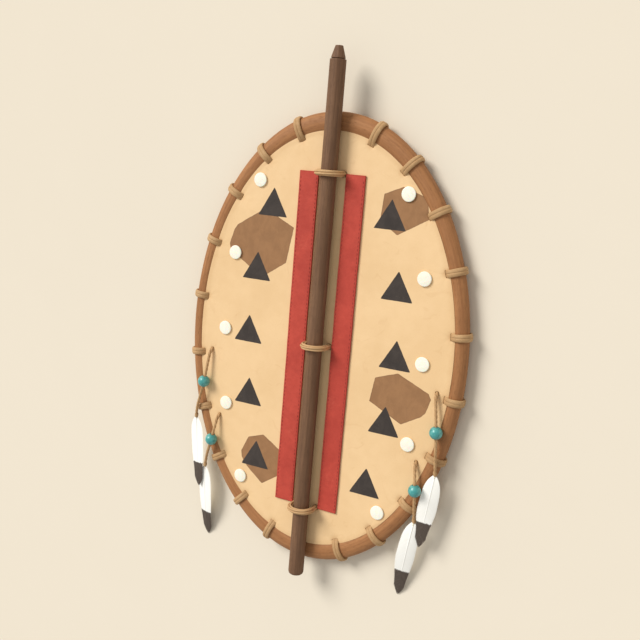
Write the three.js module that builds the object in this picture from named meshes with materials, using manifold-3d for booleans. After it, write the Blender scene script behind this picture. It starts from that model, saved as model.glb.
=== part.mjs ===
// Hide shield: an oval of rawhide laced inside a bent wooden hoop, with a staff
// tied down its face, dyed strips, bone discs and four feather pendants.
// Millimetres. +Z points up out of the face and +Y points along the staff to its
// tip. The shield lies face up: the origin is on the ground, under the middle of
// the staff. The oval's own centre is SHIELD_Y along the staff from there.

import * as THREE from 'three';
import { mergeVertices } from 'three/addons/utils/BufferGeometryUtils.js';
import Module from 'manifold-3d';

const wasm = await Module();
wasm.setup();

// ---- Driving dimensions ----------------------------------------------------

const GAP = 0.3;                  // clearance kept between touching pieces
const STRETCH = 1.5;              // the oval's length over its width
const SHIELD_Y = -47;             // the oval's centre, measured from the staff's middle

const HOOP_HALF_WIDTH = 302.4;    // centre line of the hoop, across the shield
const HOOP_R = 16.2;              // half the hoop's thickness
const HOOP_SIDES = 12;
const HOOP_STEPS = 66;            // three steps for each lashing place

const LASH_PLACES = 22;           // evenly round the hoop; the staff takes the two end places
const LASH_THICK = 6;             // how far a lashing stands off the hoop, gap included
const LASH_HALF_WIDTH = 7.2;
const LASH_STEPS = 12;
const LASH_STRIP = 1.5;           // hide left between the hoop and a lashing's hole
const LASH_INNER_THICK = 4;

const HIDE_THICK = 5;
const FACE_ABOVE_HOOP = 13.5;     // face of the hide over the hoop's centre line

const STAFF_LENGTH = 1106;
const STAFF_R = 16.8;
const STAFF_TIP = 26;             // length of the cut tip
const STAFF_SIDES = 14;

const TIE_R = 6.3;                // half the thickness of a bundle of turns
const TIE_GAP = 0.7;              // slack between the staff and a tie's bend
const TIE_PLACES = { lower: -355, middle: 0, upper: 355 };

const BAND = { inner: 30.6, outer: 73.8, halfLength: 355.5, thick: 4 };

const DISC_R = 15.75;
const DISC_THICK = 4.6;
const DISC_PLACES = [             // right-hand discs; the left-hand ones mirror them
  { name: 'upper', x: 167, y: 328 },
  { name: 'upper_middle', x: 217, y: 168.5 },
  { name: 'middle', x: 230.8, y: 0 },
  { name: 'lower_middle', x: 217, y: -168.5 },
  { name: 'lower', x: 167, y: -328 },
];

const THONG_R = 3.3;
const THONG_BEND = 13.5;          // bend where a thong comes up out of the hide
const THONG_STEPS = 18;
const THONG_HOLE_R = 5.2;
const THONG_HOLE_AHEAD = 0.6;       // the hole is worn a little towards the rim
const BEAD_R = 13.3;
const BEAD_BORE = 4.4;
const FEATHER_HALF_WIDTH = 20.5;
const FEATHER_RIB = 1.6;          // half the thickness along the shaft
const FEATHER_EDGE = 0.5;         // half the thickness at the vane's edge
const QUILL_GAP = 1;              // between a thong's end and its feather's quill
const FEATHER_ROLL = THREE.MathUtils.degToRad(15);  // the outer vane hangs lower

// Each pendant's hole, bead, highest point over the rim, and feather from quill
// to tip, from the oval's centre. arch is how far a feather bows up between them.
const PENDANTS = {
  right_upper: {
    hole: [266.6, -51.4], bead: [277.9, -127.7, 50], crest: [282.7, -187, 49.2],
    quill: [283.4, -216.2, 42], tip: [263, -377, 36], arch: 1.5,
  },
  right_lower: {
    hole: [238.8, -200.8], bead: [247.8, -254.9, 52.4], crest: [248.2, -293, 45],
    quill: [248.3, -327, 36], tip: [217.2, -510.1, 1.4], arch: 7,
  },
  left_upper: {
    hole: [-262.6, -52.3], bead: [-270.9, -127.4, 50], crest: [-285.6, -189, 47.6],
    quill: [-292, -215.7, 40], tip: [-278, -381, 34], arch: 1.5,
  },
  left_lower: {
    hole: [-233.3, -199.5], bead: [-240.4, -255.8, 52.4], crest: [-254.5, -296, 44],
    quill: [-265, -328.7, 34], tip: [-264.4, -506.6, 1.4], arch: 7,
  },
};

// Share of the full width along a feather, from its quill to its tip.
const FEATHER_OUTLINE = [
  [0, 0.1], [0.05, 0.11], [0.11, 0.45], [0.22, 0.85], [0.4, 1],
  [0.6, 0.95], [0.78, 0.7], [0.92, 0.33], [1, 0.05],
];

const STRAP = { y: 62, halfWidth: 19, thick: 4, end: 76, bend: 58, flat: 34, drop: 23 };

// ---- Derived heights -------------------------------------------------------

const HOOP_Z = HOOP_R + LASH_THICK;
const FACE_Z = HOOP_Z + FACE_ABOVE_HOOP;
const BACK_Z = FACE_Z - HIDE_THICK;
const STAFF_Z = HOOP_Z + HOOP_R + GAP + STAFF_R;

// Colours and surfaces of the real materials.
const FINISHES = {
  hide: { color: 0xf0c891, roughness: 0.75 },
  hoop: { color: 0x9a6038, roughness: 0.6 },
  staff: { color: 0x5d4130, roughness: 0.65 },
  lashing: { color: 0xab8656, roughness: 0.8 },
  tie: { color: 0xb9966a, roughness: 0.8 },
  band: { color: 0xb83a2e, roughness: 0.85 },
  disc: { color: 0xfbf8e4, roughness: 0.35 },
  thong: { color: 0xa9814f, roughness: 0.8 },
  bead: { color: 0x2f918c, roughness: 0.4 },
  feather: { color: 0xf7f5ea, roughness: 0.7 },
  strap: { color: 0x8a6038, roughness: 0.8 },
};

for (const finish of Object.values(FINISHES)) finish.metalness = 0;

// ---- Geometry helpers ------------------------------------------------------

/** Volume inside a closed triangle mesh, negative when its faces point inwards. */
function signedVolume(points, index) {
  let sum = 0;
  for (let i = 0; i < index.length; i += 3) {
    const [a, b, c] = [points[index[i]], points[index[i + 1]], points[index[i + 2]]];
    sum += a.dot(new THREE.Vector3().crossVectors(b, c)) / 6;
  }
  return sum;
}

/** Closed solid through rows of points, each row one ring of the same length.
    The last row joins the first when closed, otherwise both ends get a cap. */
function skin(rows, closed) {
  const around = rows[0].length;
  const points = rows.flat();
  const index = [];
  const last = closed ? rows.length : rows.length - 1;
  for (let i = 0; i < last; i++) {
    const next = ((i + 1) % rows.length) * around;
    for (let j = 0; j < around; j++) {
      const k = (j + 1) % around;
      index.push(i * around + j, next + j, next + k, i * around + j, next + k, i * around + k);
    }
  }
  for (let j = 1; !closed && j < around - 1; j++) {
    const end = (rows.length - 1) * around;
    index.push(0, j, j + 1, end, end + j + 1, end + j);
  }
  if (signedVolume(points, index) < 0) index.reverse();
  const geometry = new THREE.BufferGeometry().setFromPoints(points);
  return geometry.setIndex(index);
}

/** Ring of radius r and the given sides in the plane of two unit directions. */
function ring(centre, r, sides, across, up) {
  return Array.from({ length: sides }, (_, j) => {
    const angle = (j + 0.5) * 2 * Math.PI / sides;
    return centre.clone()
      .addScaledVector(across, r * Math.cos(angle))
      .addScaledVector(up, r * Math.sin(angle));
  });
}

/** The solid of a closed geometry, for cutting. */
function toSolid(geometry) {
  const bare = geometry.clone();
  bare.deleteAttribute('normal');
  bare.deleteAttribute('uv');
  const merged = mergeVertices(bare);
  return new wasm.Manifold(new wasm.Mesh({
    numProp: 3,
    vertProperties: new Float32Array(merged.attributes.position.array),
    triVerts: new Uint32Array(merged.index.array),
  }));
}

/** Geometry of a solid after cutting. */
function toGeometry(solid) {
  const mesh = solid.getMesh();
  const geometry = new THREE.BufferGeometry();
  geometry.setAttribute('position', new THREE.BufferAttribute(mesh.vertProperties, mesh.numProp));
  return geometry.setIndex(new THREE.BufferAttribute(mesh.triVerts, 1));
}

/** Round piece from its profile, turned to stand on Z. */
function turned(profile, segments, phiStart = 0) {
  const points = profile.map(([r, z]) => new THREE.Vector2(r, z));
  return new THREE.LatheGeometry(points, segments, phiStart).rotateX(Math.PI / 2);
}

// ---- Hoop and lashings -----------------------------------------------------

/** Bent wooden hoop, worked wider towards the shield's two ends. */
function hoopGeometry() {
  const geometry = new THREE.TorusGeometry(HOOP_HALF_WIDTH, HOOP_R, HOOP_SIDES, HOOP_STEPS);
  return geometry.scale(1, STRETCH, 1);
}

/** Where a lashing sits: the middle of one straight step of the hoop, its
    outward and along directions, and half the hoop's width there. */
function hoopPlace(angle) {
  const half = Math.PI / HOOP_STEPS;
  const ends = [angle - half, angle + half].map((a) => new THREE.Vector3(
    HOOP_HALF_WIDTH * Math.cos(a), STRETCH * HOOP_HALF_WIDTH * Math.sin(a), 0));
  const along = ends[1].clone().sub(ends[0]).normalize();
  const out = new THREE.Vector3(along.y, -along.x, 0);
  const centre = ends[0].clone().add(ends[1]).multiplyScalar(0.5);
  return { centre, along, out, halfWidth: centre.dot(out) * HOOP_R / HOOP_HALF_WIDTH };
}

/** Turns of thong round the hoop and through the hide, as one band. On the inner
    side it stands off the hoop, so that it goes through a hole in the hide and
    not round its edge. grow widens it all over, to cut that hole. */
function lashingGeometry(angle, grow = 0) {
  const { centre, along, out, halfWidth } = hoopPlace(angle);
  const hideMid = FACE_ABOVE_HOOP - HIDE_THICK / 2;
  const share = (r) => Math.sqrt(1 - (hideMid / r) ** 2);
  const innerHeight = HOOP_R + GAP;
  const hoopAtHide = halfWidth * share(HOOP_R);
  const standOff = (hoopAtHide + 2 * GAP + LASH_STRIP) / share(innerHeight);
  const inner = { outside: halfWidth + GAP, inside: standOff, height: innerHeight };
  const outer = {
    outside: halfWidth + LASH_THICK,
    inside: standOff + LASH_INNER_THICK,
    height: HOOP_R + LASH_THICK,
  };
  const step = 2 * Math.PI / LASH_STEPS;
  const flatten = 1 / Math.cos(step / 2);
  const rows = [];
  for (let i = 0; i < LASH_STEPS; i++) {
    const turn = (i + 0.5) * step;
    const at = (oval, extra, side) => centre.clone()
      .addScaledVector(out, (Math.cos(turn) > 0 ? oval.outside + extra : oval.inside + extra)
        * Math.cos(turn) * flatten)
      .addScaledVector(along, side)
      .setZ((oval.height + extra) * Math.sin(turn) * flatten);
    const wide = LASH_HALF_WIDTH + grow;
    const narrow = wide - 2;
    const mid = (side) => at(inner, -grow, side).lerp(at(outer, grow, side), 0.5);
    rows.push([
      at(inner, -grow, -narrow), at(inner, -grow, narrow), mid(wide),
      at(outer, grow, narrow), at(outer, grow, -narrow), mid(-wide),
    ]);
  }
  return skin(rows, true);
}

/** Angles of the lashings, without the two places that the staff covers. */
function lashingAngles() {
  const angles = Array.from({ length: LASH_PLACES }, (_, i) => (i + 0.5) * 2 * Math.PI / LASH_PLACES);
  return angles.filter((angle) => Math.abs(Math.cos(angle)) > 1e-6);
}

// ---- Staff and its ties ----------------------------------------------------

/** Round staff with a cut, tapering tip and an eased foot, along Y. */
function staffGeometry() {
  const top = STAFF_LENGTH / 2;
  const profile = [
    [0, -top], [12.5, -top], [15.8, -top + 2.5], [STAFF_R, -top + 7],
    [STAFF_R, top - STAFF_TIP], [14.6, top - STAFF_TIP + 1.5], [7.6, top], [0, top],
  ];
  return new THREE.LatheGeometry(profile.map(([r, y]) => new THREE.Vector2(r, y)), STAFF_SIDES);
}

/** Bundle of turns over the staff, down through the hide and across its back. */
function tieGeometry(grow = 0) {
  const bend = STAFF_R + TIE_GAP + TIE_R;
  const corner = 8;
  const backRun = BACK_Z - GAP - TIE_R;
  const path = [];
  const arc = (x, z, r, from, to, steps) => {
    for (let i = 0; i <= steps; i++) {
      const angle = THREE.MathUtils.degToRad(from + (to - from) * i / steps);
      const normal = new THREE.Vector3(Math.cos(angle), 0, Math.sin(angle));
      path.push({ normal, centre: normal.clone().multiplyScalar(r).add(new THREE.Vector3(x, 0, z)) });
    }
  };
  arc(0, STAFF_Z, bend, 0, 180, 8);
  arc(-bend + corner, backRun + corner, corner, 180, 270, 2);
  arc(bend - corner, backRun + corner, corner, 270, 360, 2);
  const yAxis = new THREE.Vector3(0, 1, 0);
  return skin(path.map(({ centre, normal }) => ring(centre, TIE_R + grow, 8, normal, yAxis)), true);
}

// ---- Hide ------------------------------------------------------------------

/** Flat oval of rawhide with its edge cut to the hoop, and every hole that a
    lashing, a tie or a thong goes through. */
function hideGeometry() {
  const edgeAt = (height) => HOOP_HALF_WIDTH - Math.sqrt(HOOP_R ** 2 - height ** 2) - GAP;
  const faceEdge = edgeAt(FACE_ABOVE_HOOP);
  const backEdge = edgeAt(FACE_ABOVE_HOOP - HIDE_THICK);
  const profile = [[0, BACK_Z], [backEdge, BACK_Z], [faceEdge, FACE_Z], [0, FACE_Z]];
  const plate = turned(profile, HOOP_STEPS, Math.PI / HOOP_STEPS).scale(1, STRETCH, 1);
  let solid = toSolid(plate);
  for (const angle of lashingAngles()) {
    solid = solid.subtract(toSolid(lashingGeometry(angle, GAP).translate(0, 0, HOOP_Z)));
  }
  for (const y of Object.values(TIE_PLACES)) {
    solid = solid.subtract(toSolid(tieGeometry(GAP).translate(0, y, 0)));
  }
  for (const { hole } of Object.values(PENDANTS)) {
    const drill = new THREE.CylinderGeometry(THONG_HOLE_R, THONG_HOLE_R, 4 * HIDE_THICK, 10);
    drill.rotateX(Math.PI / 2).translate(hole[0], hole[1] - THONG_HOLE_AHEAD, BACK_Z);
    solid = solid.subtract(toSolid(drill));
  }
  return toGeometry(solid);
}

// ---- Pendants --------------------------------------------------------------

/** Route of a thong: up through its hole, over in one bend, through the bead,
    across the rim and down to the quill. */
function thongRoute({ hole, bead, crest, quill }) {
  const foot = new THREE.Vector3(...hole, BACK_Z);
  const beadAt = new THREE.Vector3(...bead);
  const end = new THREE.Vector3(...quill);
  const crestAt = new THREE.Vector3(...crest);
  const ahead = beadAt.clone().sub(foot).setZ(0).normalize();
  const points = [foot.clone().setZ(BACK_Z - 9), foot.clone().setZ(BACK_Z - 4)];
  for (const degrees of [0, 30, 60, 85]) {
    const angle = THREE.MathUtils.degToRad(degrees);
    points.push(foot.clone()
      .addScaledVector(ahead, THONG_BEND * (1 - Math.cos(angle)))
      .setZ(BACK_Z + THONG_BEND * Math.sin(angle)));
  }
  const through = crestAt.clone().sub(points.at(-1)).normalize();
  for (const step of [-BEAD_R, 0, BEAD_R]) points.push(beadAt.clone().addScaledVector(through, step));
  points.push(crestAt, end);
  return { curve: new THREE.CatmullRomCurve3(points, false, 'centripetal'), beadAt, through };
}

/** Thong as a round tube that ends just short of the feather's quill. */
function thongGeometry(route) {
  const section = new THREE.Shape(ring(new THREE.Vector3(), THONG_R, 8,
    new THREE.Vector3(1, 0, 0), new THREE.Vector3(0, 1, 0)).map(({ x, y }) => new THREE.Vector2(x, y)));
  return new THREE.ExtrudeGeometry(section, { extrudePath: route.curve, steps: THONG_STEPS });
}

/** Round bead bored along its axis, turned to lie along its thong. */
function beadGeometry({ beadAt, through }) {
  const halfHeight = Math.sqrt(BEAD_R ** 2 - BEAD_BORE ** 2);
  const limit = Math.atan2(halfHeight, BEAD_BORE);
  const profile = [new THREE.Vector2(BEAD_BORE, -halfHeight)];
  for (let i = 1; i <= 4; i++) {
    const angle = limit * (i / 2.5 - 1);
    profile.push(new THREE.Vector2(BEAD_R * Math.cos(angle), BEAD_R * Math.sin(angle)));
  }
  profile.push(new THREE.Vector2(BEAD_BORE, halfHeight), profile[0].clone());
  const geometry = new THREE.LatheGeometry(profile, 8);
  geometry.applyQuaternion(new THREE.Quaternion().setFromUnitVectors(new THREE.Vector3(0, 1, 0), through));
  return geometry.translate(...beadAt);
}

/** Feather as an arched blade, thickest along its shaft, rolled so that its
    vane away from the shield hangs lower. */
function featherGeometry({ quill, tip, arch }) {
  const from = new THREE.Vector3(...quill);
  const to = new THREE.Vector3(...tip);
  const ahead = to.clone().sub(from).normalize();
  const start = from.clone().addScaledVector(ahead, QUILL_GAP);
  const control = start.clone().lerp(to, 0.5).add(new THREE.Vector3(0, 0, 2 * arch));
  const line = new THREE.QuadraticBezierCurve3(start, control, to);
  const outward = Math.sign(quill[0]);
  const rows = FEATHER_OUTLINE.map(([t, share]) => {
    const along = line.getTangent(t);
    const level = new THREE.Vector3(-along.y, along.x, 0).normalize().multiplyScalar(outward);
    const roll = -outward * FEATHER_ROLL * Math.sin(Math.PI * t);
    const across = level.applyAxisAngle(along, roll);
    const up = new THREE.Vector3().crossVectors(along, across).multiplyScalar(outward);
    const centre = line.getPoint(t);
    const half = FEATHER_HALF_WIDTH * share;
    const rib = FEATHER_RIB * (1 - 0.6 * t);
    const at = (side, lift) => centre.clone().addScaledVector(across, side).addScaledVector(up, lift);
    return [
      at(-half, -FEATHER_EDGE), at(0, -rib), at(half, -FEATHER_EDGE),
      at(half, FEATHER_EDGE), at(0, rib), at(-half, FEATHER_EDGE),
    ];
  });
  return skin(rows, false);
}

// ---- Fittings on the face and the back -------------------------------------

/** Strip of dyed hide laid beside the staff. */
function bandGeometry() {
  return new THREE.BoxGeometry(BAND.outer - BAND.inner, 2 * BAND.halfLength, BAND.thick);
}

/** Low disc with an eased rim. */
function discGeometry() {
  return turned([
    [0, 0], [DISC_R - 0.6, 0], [DISC_R, 2.4], [DISC_R - 3, DISC_THICK - 0.4], [0, DISC_THICK],
  ], 10);
}

/** Hand strap across the back: flat ends against the hide, and a bow between
    them that leaves room for the fingers. */
function strapGeometry() {
  const top = BACK_Z - GAP - STRAP.thick / 2;
  const heightAt = (x) => {
    const t = THREE.MathUtils.smoothstep(Math.abs(x), STRAP.flat, STRAP.bend);
    return top - STRAP.drop * (1 - t);
  };
  const stops = [STRAP.flat, 38, 42, 46, 50, 54, STRAP.bend, STRAP.end];
  const places = [...stops.map((x) => -x).reverse(), ...stops];
  const rows = places.map((x) => {
    const slope = (heightAt(x + 0.5) - heightAt(x - 0.5));
    const normal = new THREE.Vector3(-slope, 0, 1).normalize().multiplyScalar(STRAP.thick / 2);
    const corner = (side, y) => new THREE.Vector3(x, y, heightAt(x)).addScaledVector(normal, side);
    return [
      corner(-1, -STRAP.halfWidth), corner(-1, STRAP.halfWidth),
      corner(1, STRAP.halfWidth), corner(1, -STRAP.halfWidth),
    ];
  });
  return skin(rows, false);
}

// ---- Scene graph -----------------------------------------------------------

const object = new THREE.Group();
const shield = new THREE.Group();
shield.position.y = SHIELD_Y;
object.add(shield);

/** Named piece with its own material, added to a group at a place. */
function addPiece(group, name, geometry, finish, position = [0, 0, 0]) {
  const mesh = new THREE.Mesh(geometry, new THREE.MeshStandardMaterial(FINISHES[finish]));
  mesh.name = name;
  mesh.position.set(...position);
  group.add(mesh);
}

addPiece(shield, 'hoop', hoopGeometry(), 'hoop', [0, 0, HOOP_Z]);
addPiece(shield, 'hide_face', hideGeometry(), 'hide');

lashingAngles().forEach((angle, i) => {
  const name = `lashing_${String(i + 1).padStart(2, '0')}`;
  addPiece(shield, name, lashingGeometry(angle), 'lashing', [0, 0, HOOP_Z]);
});

addPiece(object, 'staff', staffGeometry(), 'staff', [0, 0, STAFF_Z]);
for (const [place, y] of Object.entries(TIE_PLACES)) {
  addPiece(shield, `staff_tie_${place}`, tieGeometry(), 'tie', [0, y, 0]);
}

for (const [side, sign] of [['left', -1], ['right', 1]]) {
  const middle = sign * (BAND.inner + BAND.outer) / 2;
  addPiece(shield, `band_${side}`, bandGeometry(), 'band', [middle, 0, FACE_Z + GAP + BAND.thick / 2]);
  for (const { name, x, y } of DISC_PLACES) {
    addPiece(shield, `disc_${side}_${name}`, discGeometry(), 'disc', [sign * x, y, FACE_Z + GAP]);
  }
}

for (const [place, pendant] of Object.entries(PENDANTS)) {
  const route = thongRoute(pendant);
  addPiece(shield, `thong_${place}`, thongGeometry(route), 'thong');
  addPiece(shield, `bead_${place}`, beadGeometry(route), 'bead');
  addPiece(shield, `feather_${place}`, featherGeometry(pendant), 'feather');
}

addPiece(shield, 'hand_strap', strapGeometry(), 'strap', [0, STRAP.y, 0]);

export default object;
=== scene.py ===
"""Dresses the hide shield: a rawhide oval laced into a bent hoop, with a staff tied
down its face, dyed strips, bone discs and four pendants of thong, bead and feather.

Shapes are drawn in millimetres in the part's own frame, +Z out of the face and +Y
along the staff to its tip, and become metres when a piece is made.
"""

import logging
import math
import random
from dataclasses import dataclass, field
from enum import Enum
from typing import Callable, Sequence

import bpy
import numpy as np
from mathutils import Matrix, Vector, noise
from mathutils.geometry import delaunay_2d_cdt


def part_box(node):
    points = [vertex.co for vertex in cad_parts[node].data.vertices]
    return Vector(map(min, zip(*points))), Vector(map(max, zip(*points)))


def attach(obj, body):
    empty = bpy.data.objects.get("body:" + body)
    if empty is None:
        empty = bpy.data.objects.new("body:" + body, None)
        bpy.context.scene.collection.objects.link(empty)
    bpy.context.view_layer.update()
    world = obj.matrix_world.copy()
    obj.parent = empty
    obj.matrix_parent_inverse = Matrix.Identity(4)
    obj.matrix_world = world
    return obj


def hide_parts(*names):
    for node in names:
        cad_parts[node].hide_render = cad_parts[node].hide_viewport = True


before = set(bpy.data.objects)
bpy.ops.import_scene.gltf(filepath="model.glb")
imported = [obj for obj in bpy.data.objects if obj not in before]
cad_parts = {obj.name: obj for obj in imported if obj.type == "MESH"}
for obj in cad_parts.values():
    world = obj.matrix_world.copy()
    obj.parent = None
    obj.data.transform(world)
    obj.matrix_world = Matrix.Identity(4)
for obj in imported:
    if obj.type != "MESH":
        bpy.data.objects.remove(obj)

LOG = logging.getLogger("hide_shield")
MM = 0.001
BODY = "root"
UP = (0.0, 0.0, 1.0)

Socket = bpy.types.NodeSocket
Colour = tuple[float, float, float, float]
Spot = tuple[float, float, float]
Flat = tuple[float, float]
Array = np.ndarray


# ---- Numbers and noise ------------------------------------------------------


def linear(value: int) -> float:
    """Linear share of one swatch value of 0 to 255."""
    share = value / 255
    return share / 12.92 if share <= 0.04045 else ((share + 0.055) / 1.055) ** 2.4


def srgb(red: int, green: int, blue: int) -> Colour:
    """Linear colour of a swatch given as 0 to 255."""
    return (linear(red), linear(green), linear(blue), 1.0)


def smooth(value: Array | float, low: float, high: float) -> Array | float:
    """Smooth step from 0 at low to 1 at high."""
    share = np.clip((np.asarray(value) - low) / (high - low), 0.0, 1.0)
    return share * share * (3 - 2 * share)


def unit(vector: Array) -> Array:
    """Vectors along the last axis, scaled to length 1."""
    return vector / np.maximum(np.linalg.norm(vector, axis=-1, keepdims=True), 1e-12)


def full_turn(steps: int) -> Array:
    """Angles of even steps round a circle."""
    return np.arange(steps) * 2 * math.pi / steps


def on_circle(angles: Array, stretch: float = 1.0) -> Array:
    """Rows of x and y round a circle of radius 1, stretched in y."""
    return np.stack([np.cos(angles), stretch * np.sin(angles)], 1)


def on_axis(values: Array) -> Array:
    """Points on the X axis."""
    return np.pad(values[:, None], ((0, 0), (0, 2)))


def faceted(angles: Array, faces: int) -> Array:
    """Reach of a regular many-sided outline whose corners are at radius 1."""
    half = math.pi / faces
    return np.cos(half) / np.cos(angles % (2 * half) - half)


def dip(away: Array, width: float) -> Array:
    """Bell curve: 1 at a distance of 0, falling off over the width."""
    return np.exp(-((away / width) ** 2))


def run_along(line: Array) -> Array:
    """Distance along a line at each of its points."""
    return np.concatenate([[0.0], np.cumsum(np.linalg.norm(np.diff(line, axis=0), axis=1))])


def cloud(points: Array, size: float, seed: int) -> Array:
    """Soft noise at each point.

    Args:
        points: Rows of x, y, z in millimetres.
        size: Width of the largest swells, in millimetres.
        seed: Picks one pattern among many.

    Returns:
        One value for each row, from about -1 to 1.
    """
    octaves = 2
    shift = Vector((17.3 * seed, 5.1 * seed, 9.7 * seed))
    places = (Vector(p) / size + shift for p in points.reshape(-1, 3).tolist())
    found = [noise.fractal(place, 1.0, 2.0, octaves) for place in places]
    return np.array(found).reshape(points.shape[:-1])


def depth_inside(points: Array, ring: Array) -> Array:
    """Measures to the sides of a convex outline.

    Args:
        points: Rows of x and y.
        ring: The outline's corners in order.

    Returns:
        How far inside its nearest side each row is; negative outside.
    """
    following = np.roll(ring, -1, 0)
    ways = unit(following - ring)
    area = np.sum(ring[:, 0] * following[:, 1] - ring[:, 1] * following[:, 0])
    inward = np.stack([-ways[:, 1], ways[:, 0]], 1) * math.copysign(1, area)
    return ((points[:, None] - ring[None]) * inward[None]).sum(-1).min(1)


def box_of(node: str) -> tuple[Array, Array]:
    """Lowest and highest corner of a node, in millimetres."""
    low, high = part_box(node)
    return np.array(low) / MM, np.array(high) / MM


# ---- Drafting meshes ----------------------------------------------------------


@dataclass
class Draft:
    """A mesh being drawn, in millimetres.

    lay holds, for each face corner in order, where that corner lies in the straight
    stock that the piece was worked from, so that grain follows bends. values holds
    further numbers for each point, and finish_of the finish number of each face.
    """

    points: Array
    faces: list[tuple[int, ...]]
    lay: Array
    values: dict[str, Array] = field(default_factory=dict)
    finish_of: Array | None = None

    @staticmethod
    def joined(drafts: Sequence["Draft"]) -> "Draft":
        """One draft that holds several.

        Args:
            drafts: The drafts, which have the same kinds of values.

        Returns:
            The draft of them all.
        """
        start, faces, finish = 0, [], []
        for draft in drafts:
            faces += [tuple(i + start for i in face) for face in draft.faces]
            plain = np.zeros(len(draft.faces), int)
            finish.append(plain if draft.finish_of is None else draft.finish_of)
            start += len(draft.points)
        names = drafts[0].values.keys()
        return Draft(
            np.concatenate([draft.points for draft in drafts]),
            faces,
            np.concatenate([draft.lay for draft in drafts]),
            {name: np.concatenate([draft.values[name] for draft in drafts]) for name in names},
            np.concatenate(finish),
        )

    def noted(self, finish: int | None = None, **values: float | Array) -> "Draft":
        """Notes numbers on the draft.

        Args:
            finish: The finish number of every face, or None to leave it out.
            values: By name, one number for all points or one for each.

        Returns:
            The same draft.
        """
        for name, value in values.items():
            self.values[name] = np.broadcast_to(np.asarray(value, float), len(self.points)).copy()
        if finish is not None:
            self.finish_of = np.full(len(self.faces), finish)
        return self

    def moved(self, matrix: Matrix) -> "Draft":
        """The same draft with its points moved."""
        self.points = self.points @ np.array(matrix.to_3x3()).T + np.array(matrix.translation)
        return self


def ride_frames(
    line: Array, closed: bool = False, steady: Sequence[float] | None = None
) -> tuple[Array, ...]:
    """Directions that go with a line.

    Args:
        line: Points along it.
        closed: Whether the last point joins the first.
        steady: A direction that up keeps to, or None to turn as little as possible.

    Returns:
        The unit directions along, across and up at each point.
    """
    if closed:
        along = unit(np.roll(line, -1, 0) - np.roll(line, 1, 0))
    else:
        along = unit(np.gradient(line, axis=0))
    if steady is not None:
        across = unit(np.cross(along, np.array(steady, float)))
        return along, across, np.cross(across, along)
    any_way = (0.31, 0.77, 0.56)
    ups = [unit(np.cross(along[0], any_way))]
    for tangent in along[1:]:
        ups.append(unit(ups[-1] - tangent * np.dot(tangent, ups[-1])))
    up = np.array(ups)
    return along, np.cross(along, up), up


def skin(grid: Array, lay: Array, closed: bool = False) -> Draft:
    """Closed mesh over rings of points, with its faces pointing out.

    Args:
        grid: For each ring, its points in order.
        lay: The same points in the straight stock; one more ring when closed.
        closed: Whether the last ring joins the first; otherwise each end gets a cap.

    Returns:
        The draft.
    """
    count, sides = grid.shape[:2]
    spans = count if closed else count - 1
    i, j = (m.ravel() for m in np.meshgrid(np.arange(spans), np.arange(sides), indexing="ij"))
    k, after = (j + 1) % sides, (i + 1) % count
    quads = np.stack([i * sides + j, after * sides + j, after * sides + k, i * sides + k], 1)
    corners = np.stack([lay[i, j], lay[i + 1, j], lay[i + 1, k], lay[i, k]], 1)
    points = grid.reshape(-1, 3)
    a, b, c, d = (points[quads[:, n]] - points.mean(0) for n in range(4))
    inside = np.einsum("ij,ij->", a, np.cross(b, c)) + np.einsum("ij,ij->", a, np.cross(c, d))
    rings = [np.arange(sides), np.arange(spans * sides, (spans + 1) * sides)[::-1]]
    ends = [lay[0], lay[-1][::-1]]
    if inside < 0:
        quads, corners = quads[:, ::-1], corners[:, ::-1]
        rings, ends = [ring[::-1] for ring in rings], [end[::-1] for end in ends]
    faces = [tuple(quad) for quad in quads.tolist()]
    corners = corners.reshape(-1, 3)
    if not closed:
        faces += [tuple(ring.tolist()) for ring in rings]
        corners = np.vstack([corners, *ends])
    return Draft(points, faces, corners)


def framed(
    line: Array,
    across: Array,
    up: Array,
    section: Array,
    run: Array,
    closed: bool = False,
) -> Draft:
    """Skin over sections set along a line whose directions are known.

    Args:
        line: Points along it, in millimetres.
        across: The sections' own X at each point.
        up: Their own Y.
        section: For each point, a ring of offsets (across, up).
        run: Distance along the stock at each point; one more when closed.
        closed: Whether the skin is a loop.

    Returns:
        A draft whose lay is (across, run, up).
    """
    grid = line[:, None] + across[:, None] * section[..., :1] + up[:, None] * section[..., 1:]
    ring = section[np.arange(len(run)) % len(line)]
    along = np.broadcast_to(run[:, None, None], (*ring.shape[:2], 1))
    return skin(grid, np.concatenate([ring[..., :1], along, ring[..., 1:]], 2), closed)


def sweep(
    line: Array,
    section: Array,
    closed: bool = False,
    steady: Sequence[float] | None = None,
) -> Draft:
    """Skin over sections set along a line.

    Args:
        line: Points along it, in millimetres.
        section: For each point, a ring of offsets (across, up).
        closed: Whether the skin is a loop.
        steady: A direction that up keeps to, or None.

    Returns:
        A draft whose lay is (across, distance along, up).
    """
    _, across, up = ride_frames(line, closed, steady)
    loop = np.vstack([line, line[:1]]) if closed else line
    return framed(line, across, up, section, run_along(loop), closed)


def round_section(
    radius: Array, sides: int, flat: float = 1.0, power: float = 2.0
) -> Array:
    """Rings of offsets.

    Args:
        radius: Half the width of each ring.
        sides: Points in a ring.
        flat: Height over width.
        power: 2 is an ellipse; more is a rounded box.

    Returns:
        An array of rings of (across, up).
    """
    cos, sin = on_circle(full_turn(sides)).T
    reach = (np.abs(cos) ** power + np.abs(sin) ** power) ** (-1 / power)
    ring = np.stack([cos * reach, sin * reach * flat], 1)
    return np.asarray(radius, float)[:, None, None] * ring[None]


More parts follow.
